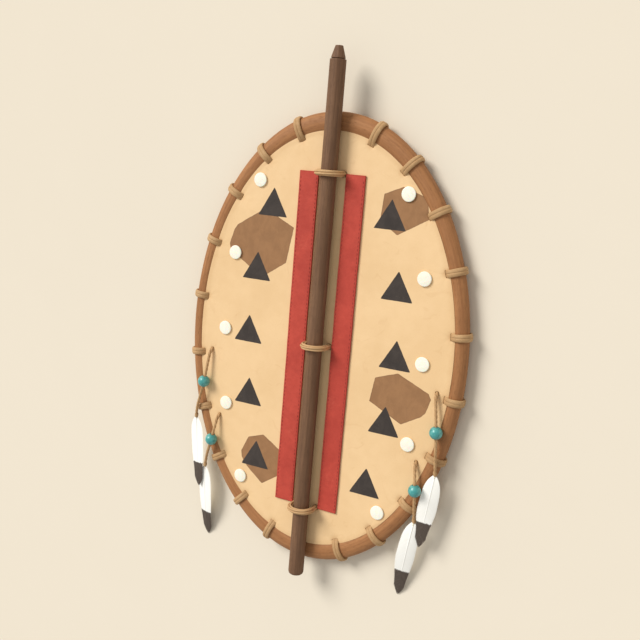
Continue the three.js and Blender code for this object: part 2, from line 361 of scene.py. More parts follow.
def plank_section(half_width: float, half_height: float, ease: float, across: int) -> Array:
    """Ring of a flat strip with eased corners.

    Args:
        half_width: Half its width.
        half_height: Half its thickness.
        ease: Radius of its corners.
        across: Points over its upper face.

    Returns:
        Rows of (across, up).
    """
    flat, level = half_width - ease, half_height - ease
    corner = (60, 30, 0, -30, -60)
    rows = [(x, half_height) for x in np.linspace(-flat, flat, across)]
    for way, degrees in ((1, corner), (-1, corner[::-1])):
        for turn in map(math.radians, degrees):
            rise = math.copysign(level, turn) + ease * math.sin(turn)
            rows.append((way * (flat + ease * math.cos(turn)), rise))
        if way > 0:
            rows += [(x, -half_height) for x in (flat, 0.0, -flat)]
    return np.array(rows)


def curve_through(stops: Sequence[Sequence[float]], steps: int) -> Array:
    """Centripetal Catmull-Rom curve through the stops.

    Args:
        stops: Points that the curve goes through.
        steps: Points for each span.

    Returns:
        Rows of points along the curve.
    """
    stops = np.array(stops, float)
    padded = np.vstack([2 * stops[0] - stops[1], stops, 2 * stops[-1] - stops[-2]])
    share = (np.arange(steps) / steps)[:, None]
    rows = []
    for a, b, c, d in zip(padded, padded[1:], padded[2:], padded[3:]):
        ab, bc, cd = (math.sqrt(np.linalg.norm(q - p)) for p, q in ((a, b), (b, c), (c, d)))
        leave = ((b - a) / ab - (c - a) / (ab + bc) + (c - b) / bc) * bc
        arrive = ((c - b) / bc - (d - b) / (bc + cd) + (d - c) / cd) * bc
        bend = 2 * b - 2 * c + leave + arrive
        swing = -3 * b + 3 * c - 2 * leave - arrive
        rows.append(((bend * share + swing) * share + leave) * share + b)
    return np.vstack([*rows, stops[-1:]])


def evenly(line: Array, step: float) -> Array:
    """The same line with its points evenly spaced.

    Args:
        line: Points along it.
        step: About how far apart the new points are.

    Returns:
        The new points.
    """
    run = run_along(line)
    places = np.linspace(0, run[-1], max(2, round(run[-1] / step) + 1))
    return np.stack([np.interp(places, run, line[:, axis]) for axis in range(3)], 1)


def turned(
    profile: Sequence[Flat], segments: int, wobble: float, seed: int
) -> Draft:
    """Round piece from its profile, standing on Z.

    Args:
        profile: Radius and height, from one end on the axis to the other, or a closed ring.
        segments: Points round the piece.
        wobble: How far the outline strays from round, as a share of the radius.
        seed: Picks the way that it strays.

    Returns:
        A draft whose lay is its own upright position.
    """
    rim = np.array(profile, float)
    circle = on_circle(full_turn(segments))
    ring = circle * (1 + wobble * cloud(np.pad(circle, ((0, 0), (0, 1))), 0.9, seed))[:, None]
    closed = rim[0, 0] > 0
    rows = rim if closed else rim[1:-1]
    heights = np.broadcast_to(rows[:, None, 1:], (len(rows), segments, 1))
    points = np.concatenate([rows[:, None, :1] * ring[None], heights], 2).reshape(-1, 3)
    steps = [(j, (j + 1) % segments) for j in range(segments)]
    faces = []
    for i in range(len(rows) if closed else len(rows) - 1):
        base, top = i * segments, (i + 1) % len(rows) * segments
        faces += [(base + j, base + k, top + k, top + j) for j, k in steps]
    if not closed:
        low, high, last = len(points), len(points) + 1, (len(rows) - 1) * segments
        points = np.vstack([points, [[0, 0, rim[0, 1]], [0, 0, rim[-1, 1]]]])
        for j, k in steps:
            faces += [(low, k, j), (high, last + j, last + k)]
    return Draft(points, faces, points[np.concatenate(faces)])


def stitch(start: Sequence[float], end: Sequence[float], up: Sequence[float], radius: float) -> Draft:
    """One stitch of thread that dives in at both ends.

    Args:
        start: Where it comes out, on the surface.
        end: Where it goes back in.
        up: Unit direction out of the surface.
        radius: Half the thread's thickness.

    Returns:
        The stitch.
    """
    start, end, up = (np.array(v, float) for v in (start, end, up))
    share = np.linspace(0, 1, 7)[:, None]
    rise = radius * (1.7 * np.sin(math.pi * share) - 0.8)
    line = start + (end - start) * share + up * rise
    return sweep(line, round_section(np.full(7, radius), 6), steady=np.cross(up, end - start))


# ---- Shader wiring --------------------------------------------------------------


class Wiring:
    """The nodes of one material or node group."""

    def __init__(self, tree: bpy.types.NodeTree) -> None:
        """Starts from an empty tree."""
        self.tree = tree
        tree.nodes.clear()

    def node(
        self, kind: str, inputs: dict[str | int, object] | None = None, **settings: object
    ) -> bpy.types.Node:
        """Adds a node.

        Args:
            kind: Its type, without the ShaderNode prefix.
            inputs: Sockets to link or plain values to set, by name or number.
            settings: The node's own properties.

        Returns:
            The node.
        """
        made = self.tree.nodes.new(kind if kind.startswith("NodeGroup") else f"ShaderNode{kind}")
        for name, value in settings.items():
            setattr(made, name, value)
        for key, value in (inputs or {}).items():
            if isinstance(value, Socket):
                self.tree.links.new(value, made.inputs[key])
            else:
                made.inputs[key].default_value = value
        return made

    def math(self, operation: str, first: object, second: object = 0.0, **settings: object) -> Socket:
        """Result of one arithmetic step."""
        return self.node("Math", {0: first, 1: second}, operation=operation, **settings).outputs[0]

    def plus(self, first: object, second: object) -> Socket:
        """Sum of two numbers."""
        return self.math("ADD", first, second)

    def minus(self, first: object, second: object, **settings: object) -> Socket:
        """The first number less the second."""
        return self.math("SUBTRACT", first, second, **settings)

    def times(self, first: object, second: object) -> Socket:
        """Product of two numbers."""
        return self.math("MULTIPLY", first, second)

    def vectors(self, operation: str, first: Socket, second: object) -> Socket:
        """Result of one step with two vectors."""
        return self.node("VectorMath", {0: first, 1: second}, operation=operation).outputs[0]

    def stretched(self, vector: Socket, *factors: float) -> Socket:
        """The vector with each axis scaled."""
        return self.vectors("MULTIPLY", vector, factors)

    def between(
        self, value: object, low: object, high: object, start: float = 0.0, end: float = 1.0
    ) -> Socket:
        """A smooth step of value from low to high, given out as start to end."""
        limits = {0: value, 1: low, 2: high, 3: start, 4: end}
        return self.node("MapRange", limits, interpolation_type="SMOOTHSTEP").outputs[0]

    def mixed(self, share: object, first: object, second: object) -> Socket:
        """Colour between the first and the second."""
        return self.node("Mix", {0: share, 6: first, 7: second}, data_type="RGBA").outputs[2]

    def glazed(self, colour: object, over: object, mask: Socket, share: float) -> Socket:
        """The colour with a share of another laid over it by a mask."""
        return self.mixed(self.times(mask, share), colour, over)

    def noise(
        self, vector: Socket, scale: object, detail: float = 3.0, rough: float = 0.5, twist: float = 0.0
    ) -> Socket:
        """Soft noise from 0 to 1."""
        inputs = {"Vector": vector, "Scale": scale, "Detail": detail, "Roughness": rough}
        return self.node("TexNoise", {**inputs, "Distortion": twist}).outputs["Fac"]

    def cells(self, vector: Socket, scale: object, feature: str = "F1") -> Socket:
        """Distance field of scattered cells."""
        made = self.node("TexVoronoi", {"Vector": vector, "Scale": scale}, feature=feature)
        return made.outputs["Distance"]

    def value(self, name: str) -> Socket:
        """A number that each point of the mesh holds."""
        return self.node("Attribute", attribute_name=name).outputs["Fac"]

    def lay(self) -> Socket:
        """Place in the straight stock, along which grain runs."""
        return self.node("Attribute", attribute_name="lay").outputs["Vector"]

    def place(self) -> Socket:
        """Position in the part's own frame."""
        return self.node("TexCoord").outputs["Object"]

    def bump(self, height: Socket, depth: float, strength: float) -> Socket:
        """Normal of a relief of that depth in metres."""
        inputs = {"Height": height, "Distance": depth, "Strength": strength}
        return self.node("Bump", inputs).outputs["Normal"]

    def finish(self, **sockets: object) -> None:
        """Ends a material in one Principled shader.

        Args:
            sockets: Its inputs, with _ for each space in their names.
        """
        inputs = {name.replace("_", " "): value for name, value in sockets.items()}
        shader = self.node("BsdfPrincipled", inputs)
        self.node("OutputMaterial", {"Surface": shader.outputs[0]})


# ---- Effects that finishes share ------------------------------------------------


Given = bpy.types.bpy_prop_collection
Results = dict[str, Socket]


@dataclass(frozen=True)
class Effect:
    """An effect that several finishes share: a node group, made once.

    inputs gives each input's usual value, or None for a vector. draw draws the inside
    from the inputs and gives the socket that feeds each output, a number.
    """

    name: str
    inputs: dict[str, float | None]
    draw: Callable[[Wiring, Given], Results]

    def made(self) -> bpy.types.NodeTree:
        """The group, with its sockets and its inside.

        Returns:
            The new group.
        """
        tree = bpy.data.node_groups.new(self.name, "ShaderNodeTree")
        w = Wiring(tree)
        for name, usual in self.inputs.items():
            kind = "NodeSocketVector" if usual is None else "NodeSocketFloat"
            socket = tree.interface.new_socket(name, in_out="INPUT", socket_type=kind)
            if usual is not None:
                socket.default_value = usual
        results = self.draw(w, w.node("NodeGroupInput").outputs)
        for name in results:
            tree.interface.new_socket(name, in_out="OUTPUT", socket_type="NodeSocketFloat")
        w.node("NodeGroupOutput", results)
        return tree

    def on(self, w: Wiring, **values: object) -> Given:
        """Outputs of the group, placed in a material with what feeds its inputs."""
        tree = bpy.data.node_groups.get(self.name) or self.made()
        return w.node("Group", values, node_tree=tree).outputs


def draw_mottle(w: Wiring, given: Given) -> Results:
    """Draws broad, soft unevenness of colour with a finer layer inside it.

    Args:
        w: The group's wiring.
        given: Its inputs.

    Returns:
        The mask of the deeper colour.
    """
    place, scale = given["Vector"], given["Scale"]
    broad = w.noise(place, scale, 3.0, 0.55, 0.4)
    small = w.noise(place, w.times(scale, 6.0), 4.0, 0.6)
    both = w.plus(w.times(broad, 0.65), w.times(small, 0.35))
    return {"Mask": w.between(both, 0.36, 0.64)}


def draw_long_grain(w: Wiring, given: Given) -> Results:
    """Draws grain that follows the stock, on a lay that wanders a little.

    Args:
        w: The group's wiring.
        given: Its inputs.

    Returns:
        Broad streaks, fine fibres, pores and the relief of them all.
    """
    lay, scale = given["Lay"], given["Scale"]
    bend = w.noise(w.stretched(lay, 9.0, 3.5, 9.0), 1.0, 2.0)
    wander = w.node("CombineXYZ", {0: w.times(bend, 0.012), 2: w.times(bend, 0.009)})
    path = w.vectors("ADD", lay, wander.outputs[0])
    streak = w.noise(w.stretched(path, 1.0, 0.035, 1.0), scale, 4.0, 0.6)
    fibre = w.noise(w.stretched(path, 1.0, 0.02, 1.0), w.times(scale, 4.5), 3.0, 0.65)
    pore = w.noise(w.stretched(path, 1.0, 0.06, 1.0), w.times(scale, 7.0), 2.0)
    pore = w.between(pore, 0.6, 0.7)
    relief = w.minus(w.plus(w.times(streak, 0.5), fibre), pore)
    return {"Streak": w.between(streak, 0.34, 0.66), "Fibre": fibre, "Pore": pore, "Relief": relief}


def draw_skin_grain(w: Wiring, given: Given) -> Results:
    """Draws creases, pores and fine grain of hide or leather.

    Args:
        w: The group's wiring.
        given: Its inputs.

    Returns:
        A crease mask and a height.
    """
    place, scale = given["Vector"], given["Scale"]
    warp = w.node("TexNoise", {"Vector": place, "Scale": scale, "Detail": 2.0}).outputs["Color"]
    slight = w.node("VectorMath", {0: warp, "Scale": 0.004}, operation="SCALE").outputs[0]
    pebble = w.cells(w.vectors("ADD", place, slight), w.times(scale, 3.0), "DISTANCE_TO_EDGE")
    crease = w.between(pebble, 0.0, 0.09, 1.0, 0.0)
    fine = w.noise(place, w.times(scale, 9.0), 3.0, 0.6)
    return {"Crease": crease, "Height": w.minus(w.times(fine, 0.6), w.times(crease, 0.5))}


def draw_cover(w: Wiring, given: Given) -> Results:
    """Draws where paint lies, from the distance inside its outline, with a brushed edge.

    Args:
        w: The group's wiring.
        given: Its inputs.

    Returns:
        The paint's mask, and a broader one of its rim.
    """
    place, soft = given["Vector"], given["Soft"]
    ragged = w.minus(w.noise(place, 90.0, 4.0, 0.65), 0.5)
    inside = w.plus(given["Distance"], w.times(ragged, given["Ragged"]))
    body = w.between(inside, w.times(soft, -1.0), soft)
    worn = w.between(w.noise(place, 420.0, 3.0, 0.7), 0.62, 0.74)
    mask = w.minus(body, w.times(worn, given["Worn"]), use_clamp=True)
    return {"Mask": mask, "Rim": w.between(inside, w.times(soft, 6.0), soft)}


def draw_scuffing(w: Wiring, given: Given) -> Results:
    """Draws handling wear: thin scattered marks and a soft rubbed patchiness.

    Args:
        w: The group's wiring.
        given: Its inputs.

    Returns:
        The mask of the wear.
    """
    place, scale = given["Vector"], given["Scale"]
    broad = w.noise(place, scale, 2.0)
    fine = w.noise(place, w.times(scale, 12.0), 4.0, 0.7)
    limit = w.minus(0.78, w.times(given["Amount"], 0.3))
    level = w.plus(w.times(broad, 0.5), w.times(fine, 0.5))
    return {"Mask": w.between(level, limit, w.plus(limit, 0.09))}


MOTTLE = Effect("Mottle", {"Vector": None, "Scale": 8.0}, draw_mottle)
LONG_GRAIN = Effect("Long grain", {"Lay": None, "Scale": 220.0}, draw_long_grain)
SKIN_GRAIN = Effect("Skin grain", {"Vector": None, "Scale": 120.0}, draw_skin_grain)
COVER = Effect(
    "Paint cover",
    {"Vector": None, "Distance": 0.0, "Ragged": 0.001, "Soft": 0.0004, "Worn": 0.1},
    draw_cover,
)
SCUFFING = Effect("Scuffing", {"Vector": None, "Scale": 20.0, "Amount": 0.5}, draw_scuffing)


# ---- Finishes ---------------------------------------------------------------------


@dataclass(frozen=True)
class Finish:
    """A surface finish, whose material is made once and shared."""

    name: str
    slot: str

    def material(self) -> bpy.types.Material:
        """The finish as a material.

        Returns:
            The material, made the first time that it is asked for.
        """
        made = bpy.data.materials.get(self.name)
        if not made:
            made = bpy.data.materials.new(self.name)
            made.use_nodes = True
            self.wire(Wiring(made.node_tree))
        return made

    def wire(self, w: Wiring) -> None:
        """Draws the material's nodes.

        Args:
            w: The material's wiring.
        """
        raise NotImplementedError


@dataclass(frozen=True)
class PaintedHide(Finish):
    """Scraped rawhide with brown patches and near-black marks painted on it."""

    pale: Colour = srgb(236, 201, 153)
    deep: Colour = srgb(229, 193, 144)
    hide_darker: Colour = srgb(196, 150, 98)
    patch: Colour = srgb(147, 107, 71)
    patch_thin: Colour = srgb(157, 115, 77)
    mark: Colour = srgb(55, 48, 44)
    mark_dry: Colour = srgb(66, 58, 53)

    def wire(self, w: Wiring) -> None:
        """Hide colour with follicles and veins, darker along the edge by the hoop and close to the lacing
        holes, then the paint over it.

        Args:
            w: The material's wiring.
        """
        place = w.place()
        mottle, fine = (MOTTLE.on(w, Vector=place, Scale=s)["Mask"] for s in (6.0, 42.0))
        ripple = w.noise(place, 26.0, 3.0, 0.5, 0.8)
        hide = w.glazed(w.mixed(mottle, self.pale, self.deep), self.deep, fine, 0.28)
        follicle = w.between(w.cells(place, 330.0), 0.10, 0.24, 0.16, 0.0)
        edge = w.between(w.plus(w.value("rim"), w.times(fine, 0.006)), 0.002, 0.018, 0.26, 0.0)
        off_line = w.math("ABSOLUTE", w.minus(w.noise(place, 9.0, 3.0, 0.45, 1.1), 0.5))
        vein = w.times(w.between(off_line, 0.0, 0.016, 0.13, 0.0), w.between(ripple, 0.44, 0.6))
        # Follicles and veins, then darker along the edge by the hoop and close to the lacing holes.
        for share in (follicle, vein, edge, w.times(w.value("tug"), 0.45)):
            hide = w.mixed(share, hide, self.hide_darker)
        wash = COVER.on(w, Vector=place, Distance=w.value("patch"), Ragged=0.0022, Soft=0.0005)
        sign = COVER.on(w, Vector=place, Distance=w.value("mark"), Ragged=0.0014)
        brushed = w.noise(w.stretched(place, 52.0, 34.0, 52.0), 1.0, 5.0, 0.62, 0.5)
        brown = w.mixed(w.between(brushed, 0.34, 0.66), self.patch, self.patch_thin)
        brown = w.glazed(brown, self.mark_dry, wash["Rim"], 0.16)
        black = w.mixed(w.between(brushed, 0.3, 0.7), self.mark, self.mark_dry)
        colour = w.mixed(sign["Mask"], w.mixed(wash["Mask"], hide, brown), black)
        painted = w.math("MAXIMUM", wash["Mask"], sign["Mask"])
        rough = w.between(w.plus(painted, w.times(fine, 0.4)), 0.0, 1.4, 0.56, 0.78)
        grain = w.times(SKIN_GRAIN.on(w, Vector=place, Scale=64.0)["Height"], 0.5)
        height = w.plus(w.plus(grain, w.times(ripple, 2.4)), w.times(painted, 0.2))
        normal = w.bump(height, 0.00035, 0.5)
        w.finish(Base_Color=colour, Roughness=rough, Normal=normal, Specular_IOR_Level=0.35)


@dataclass(frozen=True)
class Wood(Finish):
    """Worked wood with its grain along the stock."""

    light: Colour
    dark: Colour
    pore: Colour
    scale: float
    rough: float
    depth: float = 0.0003

    def wire(self, w: Wiring) -> None:
        """Streaks, fibres and pores, rubbed lighter where hands have been.

        Args:
            w: The material's wiring.
        """
        grain = LONG_GRAIN.on(w, Lay=w.lay(), Scale=self.scale)
        broad = MOTTLE.on(w, Vector=w.place(), Scale=9.0)["Mask"]
        rubbed = SCUFFING.on(w, Vector=w.place(), Scale=14.0, Amount=0.55)["Mask"]
        colour = w.mixed(grain["Streak"], self.dark, self.light)
        for over, mask, share in (
            (self.dark, grain["Fibre"], 0.45),
            (self.pore, grain["Pore"], 0.6),
            (self.pore, broad, 0.22),
            (self.light, rubbed, 0.3),
        ):
            colour = w.glazed(colour, over, mask, share)
        worn = w.plus(grain["Fibre"], w.times(rubbed, -0.4))
        rough = w.between(worn, 0.2, 0.9, self.rough - 0.08, self.rough + 0.14)
        normal = w.bump(grain["Relief"], self.depth, 0.7)
        w.finish(Base_Color=colour, Roughness=rough, Normal=normal, Specular_IOR_Level=0.25)


@dataclass(frozen=True)
class DryThong(Finish):
    """Rawhide cut in a strip or twisted, dried hard."""

    light: Colour
    dark: Colour

    def wire(self, w: Wiring) -> None:
        """Colour that shifts from turn to turn, with fibres, and creases that are darker too.

        Args:
            w: The material's wiring.
        """
        lay = w.lay()
        fibre = LONG_GRAIN.on(w, Lay=lay, Scale=420.0)["Fibre"]
        mottle = MOTTLE.on(w, Vector=w.place(), Scale=38.0)["Mask"]
        skin = SKIN_GRAIN.on(w, Vector=lay, Scale=240.0)
        shift = w.plus(w.times(mottle, 0.5), w.times(w.value("tone"), 0.4))
        colour = w.glazed(w.mixed(shift, self.light, self.dark), self.dark, fibre, 0.35)
        # Darker in the creases of the grain.
        colour = w.glazed(colour, self.dark, skin["Crease"], 0.25)
        rough = w.between(mottle, 0.0, 1.0, 0.55, 0.72)
        normal = w.bump(w.plus(fibre, skin["Height"]), 0.0003, 0.7)
        w.finish(Base_Color=colour, Roughness=rough, Normal=normal, Specular_IOR_Level=0.35)


@dataclass(frozen=True)
class Leather(Finish):
    """Dressed hide, dyed through, with darker cut edges and rubbed high spots."""

    colour: Colour
    deep: Colour
    rubbed: Colour
    rough: float = 0.62

    def wire(self, w: Wiring) -> None:
        """Grain and creases in the dye, from the edges inwards.

        Args:
            w: The material's wiring.
        """
        place = w.place()
        skin = SKIN_GRAIN.on(w, Vector=place, Scale=150.0)
        broad, fine = (MOTTLE.on(w, Vector=place, Scale=s)["Mask"] for s in (13.0, 90.0))
        colour = self.colour
        for mask, share in ((broad, 0.4), (fine, 0.22), (skin["Crease"], 0.3)):
            colour = w.glazed(colour, self.deep, mask, share)
        inset = w.plus(w.value("inset"), w.times(fine, 0.0008))
        colour = w.mixed(w.between(inset, 0.0006, 0.0028, 0.5, 0.0), colour, self.deep)
        worn = SCUFFING.on(w, Vector=place, Scale=17.0, Amount=0.62)["Mask"]
        colour = w.glazed(colour, self.rubbed, worn, 0.32)
        rough = w.between(w.plus(fine, worn), 0.0, 2.0, self.rough - 0.06, self.rough + 0.16)
        normal = w.bump(skin["Height"], 0.0004, 0.6)
        w.finish(Base_Color=colour, Roughness=rough, Normal=normal, Specular_IOR_Level=0.3)


@dataclass(frozen=True)
class Bone(Finish):
    """Polished bone with faint streaks and a few pits."""

    light: Colour = srgb(247, 245, 230)
    warm: Colour = srgb(236, 228, 203)
    pit: Colour = srgb(190, 172, 138)

    def wire(self, w: Wiring) -> None:
        """Long streaks of warmer bone, pits, and a soft polish.

        Args:
            w: The material's wiring.
        """
        lay = w.lay()
        streak = w.noise(w.stretched(lay, 420.0, 42.0, 420.0), 1.0, 3.0, 0.6, 0.3)
        share = w.plus(w.between(streak, 0.42, 0.7, 0.0, 0.5), w.times(w.value("tone"), 0.3))
        pits = w.between(w.cells(w.stretched(lay, 1.0, 0.4, 1.0), 700.0), 0.10, 0.2, 0.55, 0.0)
        pits = w.times(pits, w.between(w.noise(lay, 160.0, 2.0), 0.5, 0.62))
        colour = w.mixed(pits, w.mixed(share, self.light, self.warm), self.pit)
        rough = w.between(streak, 0.3, 0.7, 0.3, 0.42)
        normal = w.bump(w.minus(streak, pits), 0.00012, 0.6)
        w.finish(
            Base_Color=colour, Roughness=rough, Normal=normal,
            Subsurface_Weight=0.12, Subsurface_Scale=0.002, Specular_IOR_Level=0.45,
        )


@dataclass(frozen=True)
class BlueStone(Finish):
    """Opaque blue-green bead with faint bands and a dark web, softly polished."""

    body: Colour = srgb(66, 150, 147)
    light: Colour = srgb(104, 178, 170)
    web: Colour = srgb(48, 84, 78)

    def wire(self, w: Wiring) -> None:
        """Bands and web in the body, under a thin polish.

        Args:
            w: The material's wiring.
        """
        lay = w.lay()
        bands = w.noise(w.stretched(lay, 160.0, 45.0, 160.0), 1.0, 3.0, 0.55, 0.6)
        colour = w.mixed(w.between(bands, 0.45, 0.72, 0.0, 0.75), self.body, self.light)
        warp = w.noise(lay, 90.0, 3.0)
        push = w.node("CombineXYZ", {0: w.times(warp, 0.012), 1: w.times(warp, 0.009)})
        web = w.cells(w.vectors("ADD", lay, push.outputs[0]), 85.0, "DISTANCE_TO_EDGE")
        sparse = w.between(w.noise(lay, 70.0, 2.0), 0.46, 0.62, 0.0, 0.7)
        vein = w.times(w.between(web, 0.0, 0.035, 1.0, 0.0), sparse)
        rough = w.between(bands, 0.3, 0.7, 0.26, 0.38)
        normal = w.bump(w.minus(bands, vein), 0.00015, 0.5)
        w.finish(
            Base_Color=w.mixed(vein, colour, self.web), Roughness=rough, Normal=normal,
            Coat_Weight=0.25, Coat_Roughness=0.2, Specular_IOR_Level=0.5,
        )


@dataclass(frozen=True)
class Plume(Finish):
    """Feather, white with a dark brown tip that starts at one place along it."""

    white: Colour = srgb(253, 252, 247)
    cream: Colour = srgb(246, 242, 229)
    brown: Colour = srgb(92, 80, 71)
    umber: Colour = srgb(74, 64, 56)
    border: float = 0.655

    def wire(self, w: Wiring) -> None:
        """White, then brown past the border, each barb a little different.

        Args:
            w: The material's wiring.
        """
        tone = w.value("tone")
        streak = w.noise(w.stretched(w.lay(), 900.0, 60.0, 900.0), 1.0, 3.0, 0.6)
        uneven = w.plus(streak, tone)
        pale = w.glazed(self.white, self.cream, uneven, 0.28)
        dark = w.glazed(self.brown, self.umber, uneven, 0.5)
        reach = w.plus(w.value("reach"), w.times(w.minus(tone, 0.5), 0.014))
        tip = w.between(reach, self.border - 0.008, self.border + 0.008)
        rough = w.between(streak, 0.3, 0.7, 0.5, 0.68)
        normal = w.bump(streak, 0.00012, 0.5)
        colour = w.mixed(tip, pale, dark)
        w.finish(Base_Color=colour, Roughness=rough, Normal=normal, Specular_IOR_Level=0.3)


@dataclass(frozen=True)
class Ground(Finish):
    """Plain pale floor."""

    colour: Colour = srgb(229, 219, 201)
    shade: Colour = srgb(214, 204, 186)

    def wire(self, w: Wiring) -> None:
        """Very faint unevenness.

        Args:
            w: The material's wiring.
        """
        mottle = MOTTLE.on(w, Vector=w.place(), Scale=1.5)["Mask"]
        colour = w.glazed(self.colour, self.shade, mottle, 0.06)
        w.finish(Base_Color=colour, Roughness=0.9, Specular_IOR_Level=0.1)


HIDE = PaintedHide("painted rawhide", "hide")
BENT_WOOD = Wood(
    "oiled bent wood", "hoop", srgb(178, 125, 80), srgb(157, 107, 67), srgb(120, 80, 48), 190.0, 0.6
)
DARK_WOOD = Wood(
    "dark stained wood", "staff", srgb(129, 96, 70), srgb(110, 80, 58), srgb(86, 61, 44),
    240.0, 0.62, depth=0.0004,
)
LACING = DryThong("dry lacing", "lashing", srgb(206, 169, 122), srgb(170, 131, 88))
BINDING = DryThong("dry binding", "tie", srgb(216, 178, 130), srgb(180, 141, 97))
TWIST = DryThong("dry twisted thong", "thong", srgb(206, 168, 121), srgb(172, 133, 90))
RED_HIDE = Leather("red dyed hide", "band", srgb(199, 77, 61), srgb(158, 50, 40), srgb(210, 106, 84))
RED_THREAD = DryThong("red sinew", "band", srgb(170, 62, 51), srgb(128, 40, 34))
STRAP_HIDE = Leather("tanned strap", "strap", srgb(148, 104, 62), srgb(104, 68, 38), srgb(180, 138, 92))
PALE_THREAD = DryThong("pale sinew", "strap", srgb(206, 186, 150), srgb(164, 138, 98))
BONE = Bone("polished bone", "disc")
STONE = BlueStone("blue-green stone", "bead")
PLUME = Plume("tipped feather", "feather")
QUILL_HORN = Plume("quill horn", "feather", srgb(240, 232, 208), srgb(220, 204, 168), border=2.0)
SINEW = DryThong("sinew whipping", "feather", srgb(208, 172, 126), srgb(174, 136, 92))
FLOOR = Ground("pale floor", "")


# ---- Making pieces -------------------------------------------------------------------


def make_piece(
    name: str, draft: Draft, finishes: Sequence[Finish], *replaced: str, crease: float = 50.0
) -> bpy.types.Object:
    """Turns a draft into a piece that rides on the shield.

    Args:
        name: What the piece is called.
        draft: Its mesh in millimetres.
        finishes: Its finishes, in the order of the draft's finish numbers.
        replaced: The nodes that it stands for.
        crease: Edges sharper than this many degrees stay sharp.

    Returns:
        The object.
    """
    mesh = bpy.data.meshes.new(name)
    mesh.from_pydata((draft.points * MM).tolist(), [], draft.faces)
    lay = mesh.attributes.new("lay", "FLOAT_VECTOR", "CORNER")
    lay.data.foreach_set("vector", (draft.lay * MM).astype(np.float32).ravel())
    for key, values in draft.values.items():
        made = mesh.attributes.new(key, "FLOAT", "POINT")
        made.data.foreach_set("value", values.astype(np.float32))
    for finish in finishes:
        mesh.materials.append(finish.material())
    if draft.finish_of is not None:
        mesh.polygons.foreach_set("material_index", draft.finish_of.astype(np.int32))
    mesh.shade_smooth()
    mesh.set_sharp_from_angle(angle=math.radians(crease))
    mesh.update()
    made = bpy.data.objects.new(name, mesh)
    bpy.context.scene.collection.objects.link(made)
    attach(made, BODY)
    if replaced:
        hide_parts(*replaced)
    LOG.info("%s: %d points, %d faces", name, len(draft.points), len(draft.faces))
    return made


# ---- The hoop and the hide in it -------------------------------------------------------


@dataclass(frozen=True)
class Setting:
    """A place on the hoop: its centre there, the ways along and out, and its half width."""

    centre: Array
    along: Array
    out: Array
    half_width: float


@dataclass
class Hoop:
    """Bent wooden hoop, from whose line the shield is set out."""

    centre: Array
    half_width: float
    stock: float
    stretch: float = 1.5
    steps: int = 480
    sides: int = 30
    shaving: float = 0.022

    @classmethod
    def from_frame(cls) -> "Hoop":
        """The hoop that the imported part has.

        Returns:
            A hoop on the line of that node.
        """
        low, high = box_of("hoop")
        stock = (high[2] - low[2]) / 2
        return cls((low + high) / 2, (high[0] - low[0]) / 2 - stock, stock)

    def setting(self, angle: float) -> Setting:
        """Sets out one place.

        Args:
            angle: Where it is on the hoop.

        Returns:
            The place.
        """
        reach = np.array([math.cos(angle), self.stretch * math.sin(angle), 0.0])
        centre = self.centre + self.half_width * reach
        along = unit(np.array([-math.sin(angle), self.stretch * math.cos(angle), 0.0]))
        out = np.array([along[1], -along[0], 0.0])
        width = float((centre - self.centre) @ out) * self.stock / self.half_width
        return Setting(centre, along, out, width)

    def build(self) -> None:
        """Smooth bent rod, wider at the shield's two ends, with shallow shaved hollows."""
        angles = (np.arange(self.steps) / self.steps - 0.25) * 2 * math.pi
        settings = [self.setting(angle) for angle in angles]
        line = np.array([place.centre for place in settings])
        out = np.array([place.out for place in settings])
        widths = np.array([place.half_width for place in settings])
        ring = round_section(np.ones(self.steps), self.sides)
        rough = line[:, None] + out[:, None] * ring[..., :1] * self.stock
        rough[..., 2] += ring[..., 1] * self.stock
        hollow = 0.5 + 0.5 * cloud(rough * [0.35, 0.35, 1.6], 22.0, 3)
        ring = ring * (1 - self.shaving * hollow[..., None])
        section = ring * np.stack([widths, np.full(self.steps, self.stock)], 1)[:, None]
        make_piece("bent_hoop", sweep(line, section, True, UP), [BENT_WOOD], "hoop")


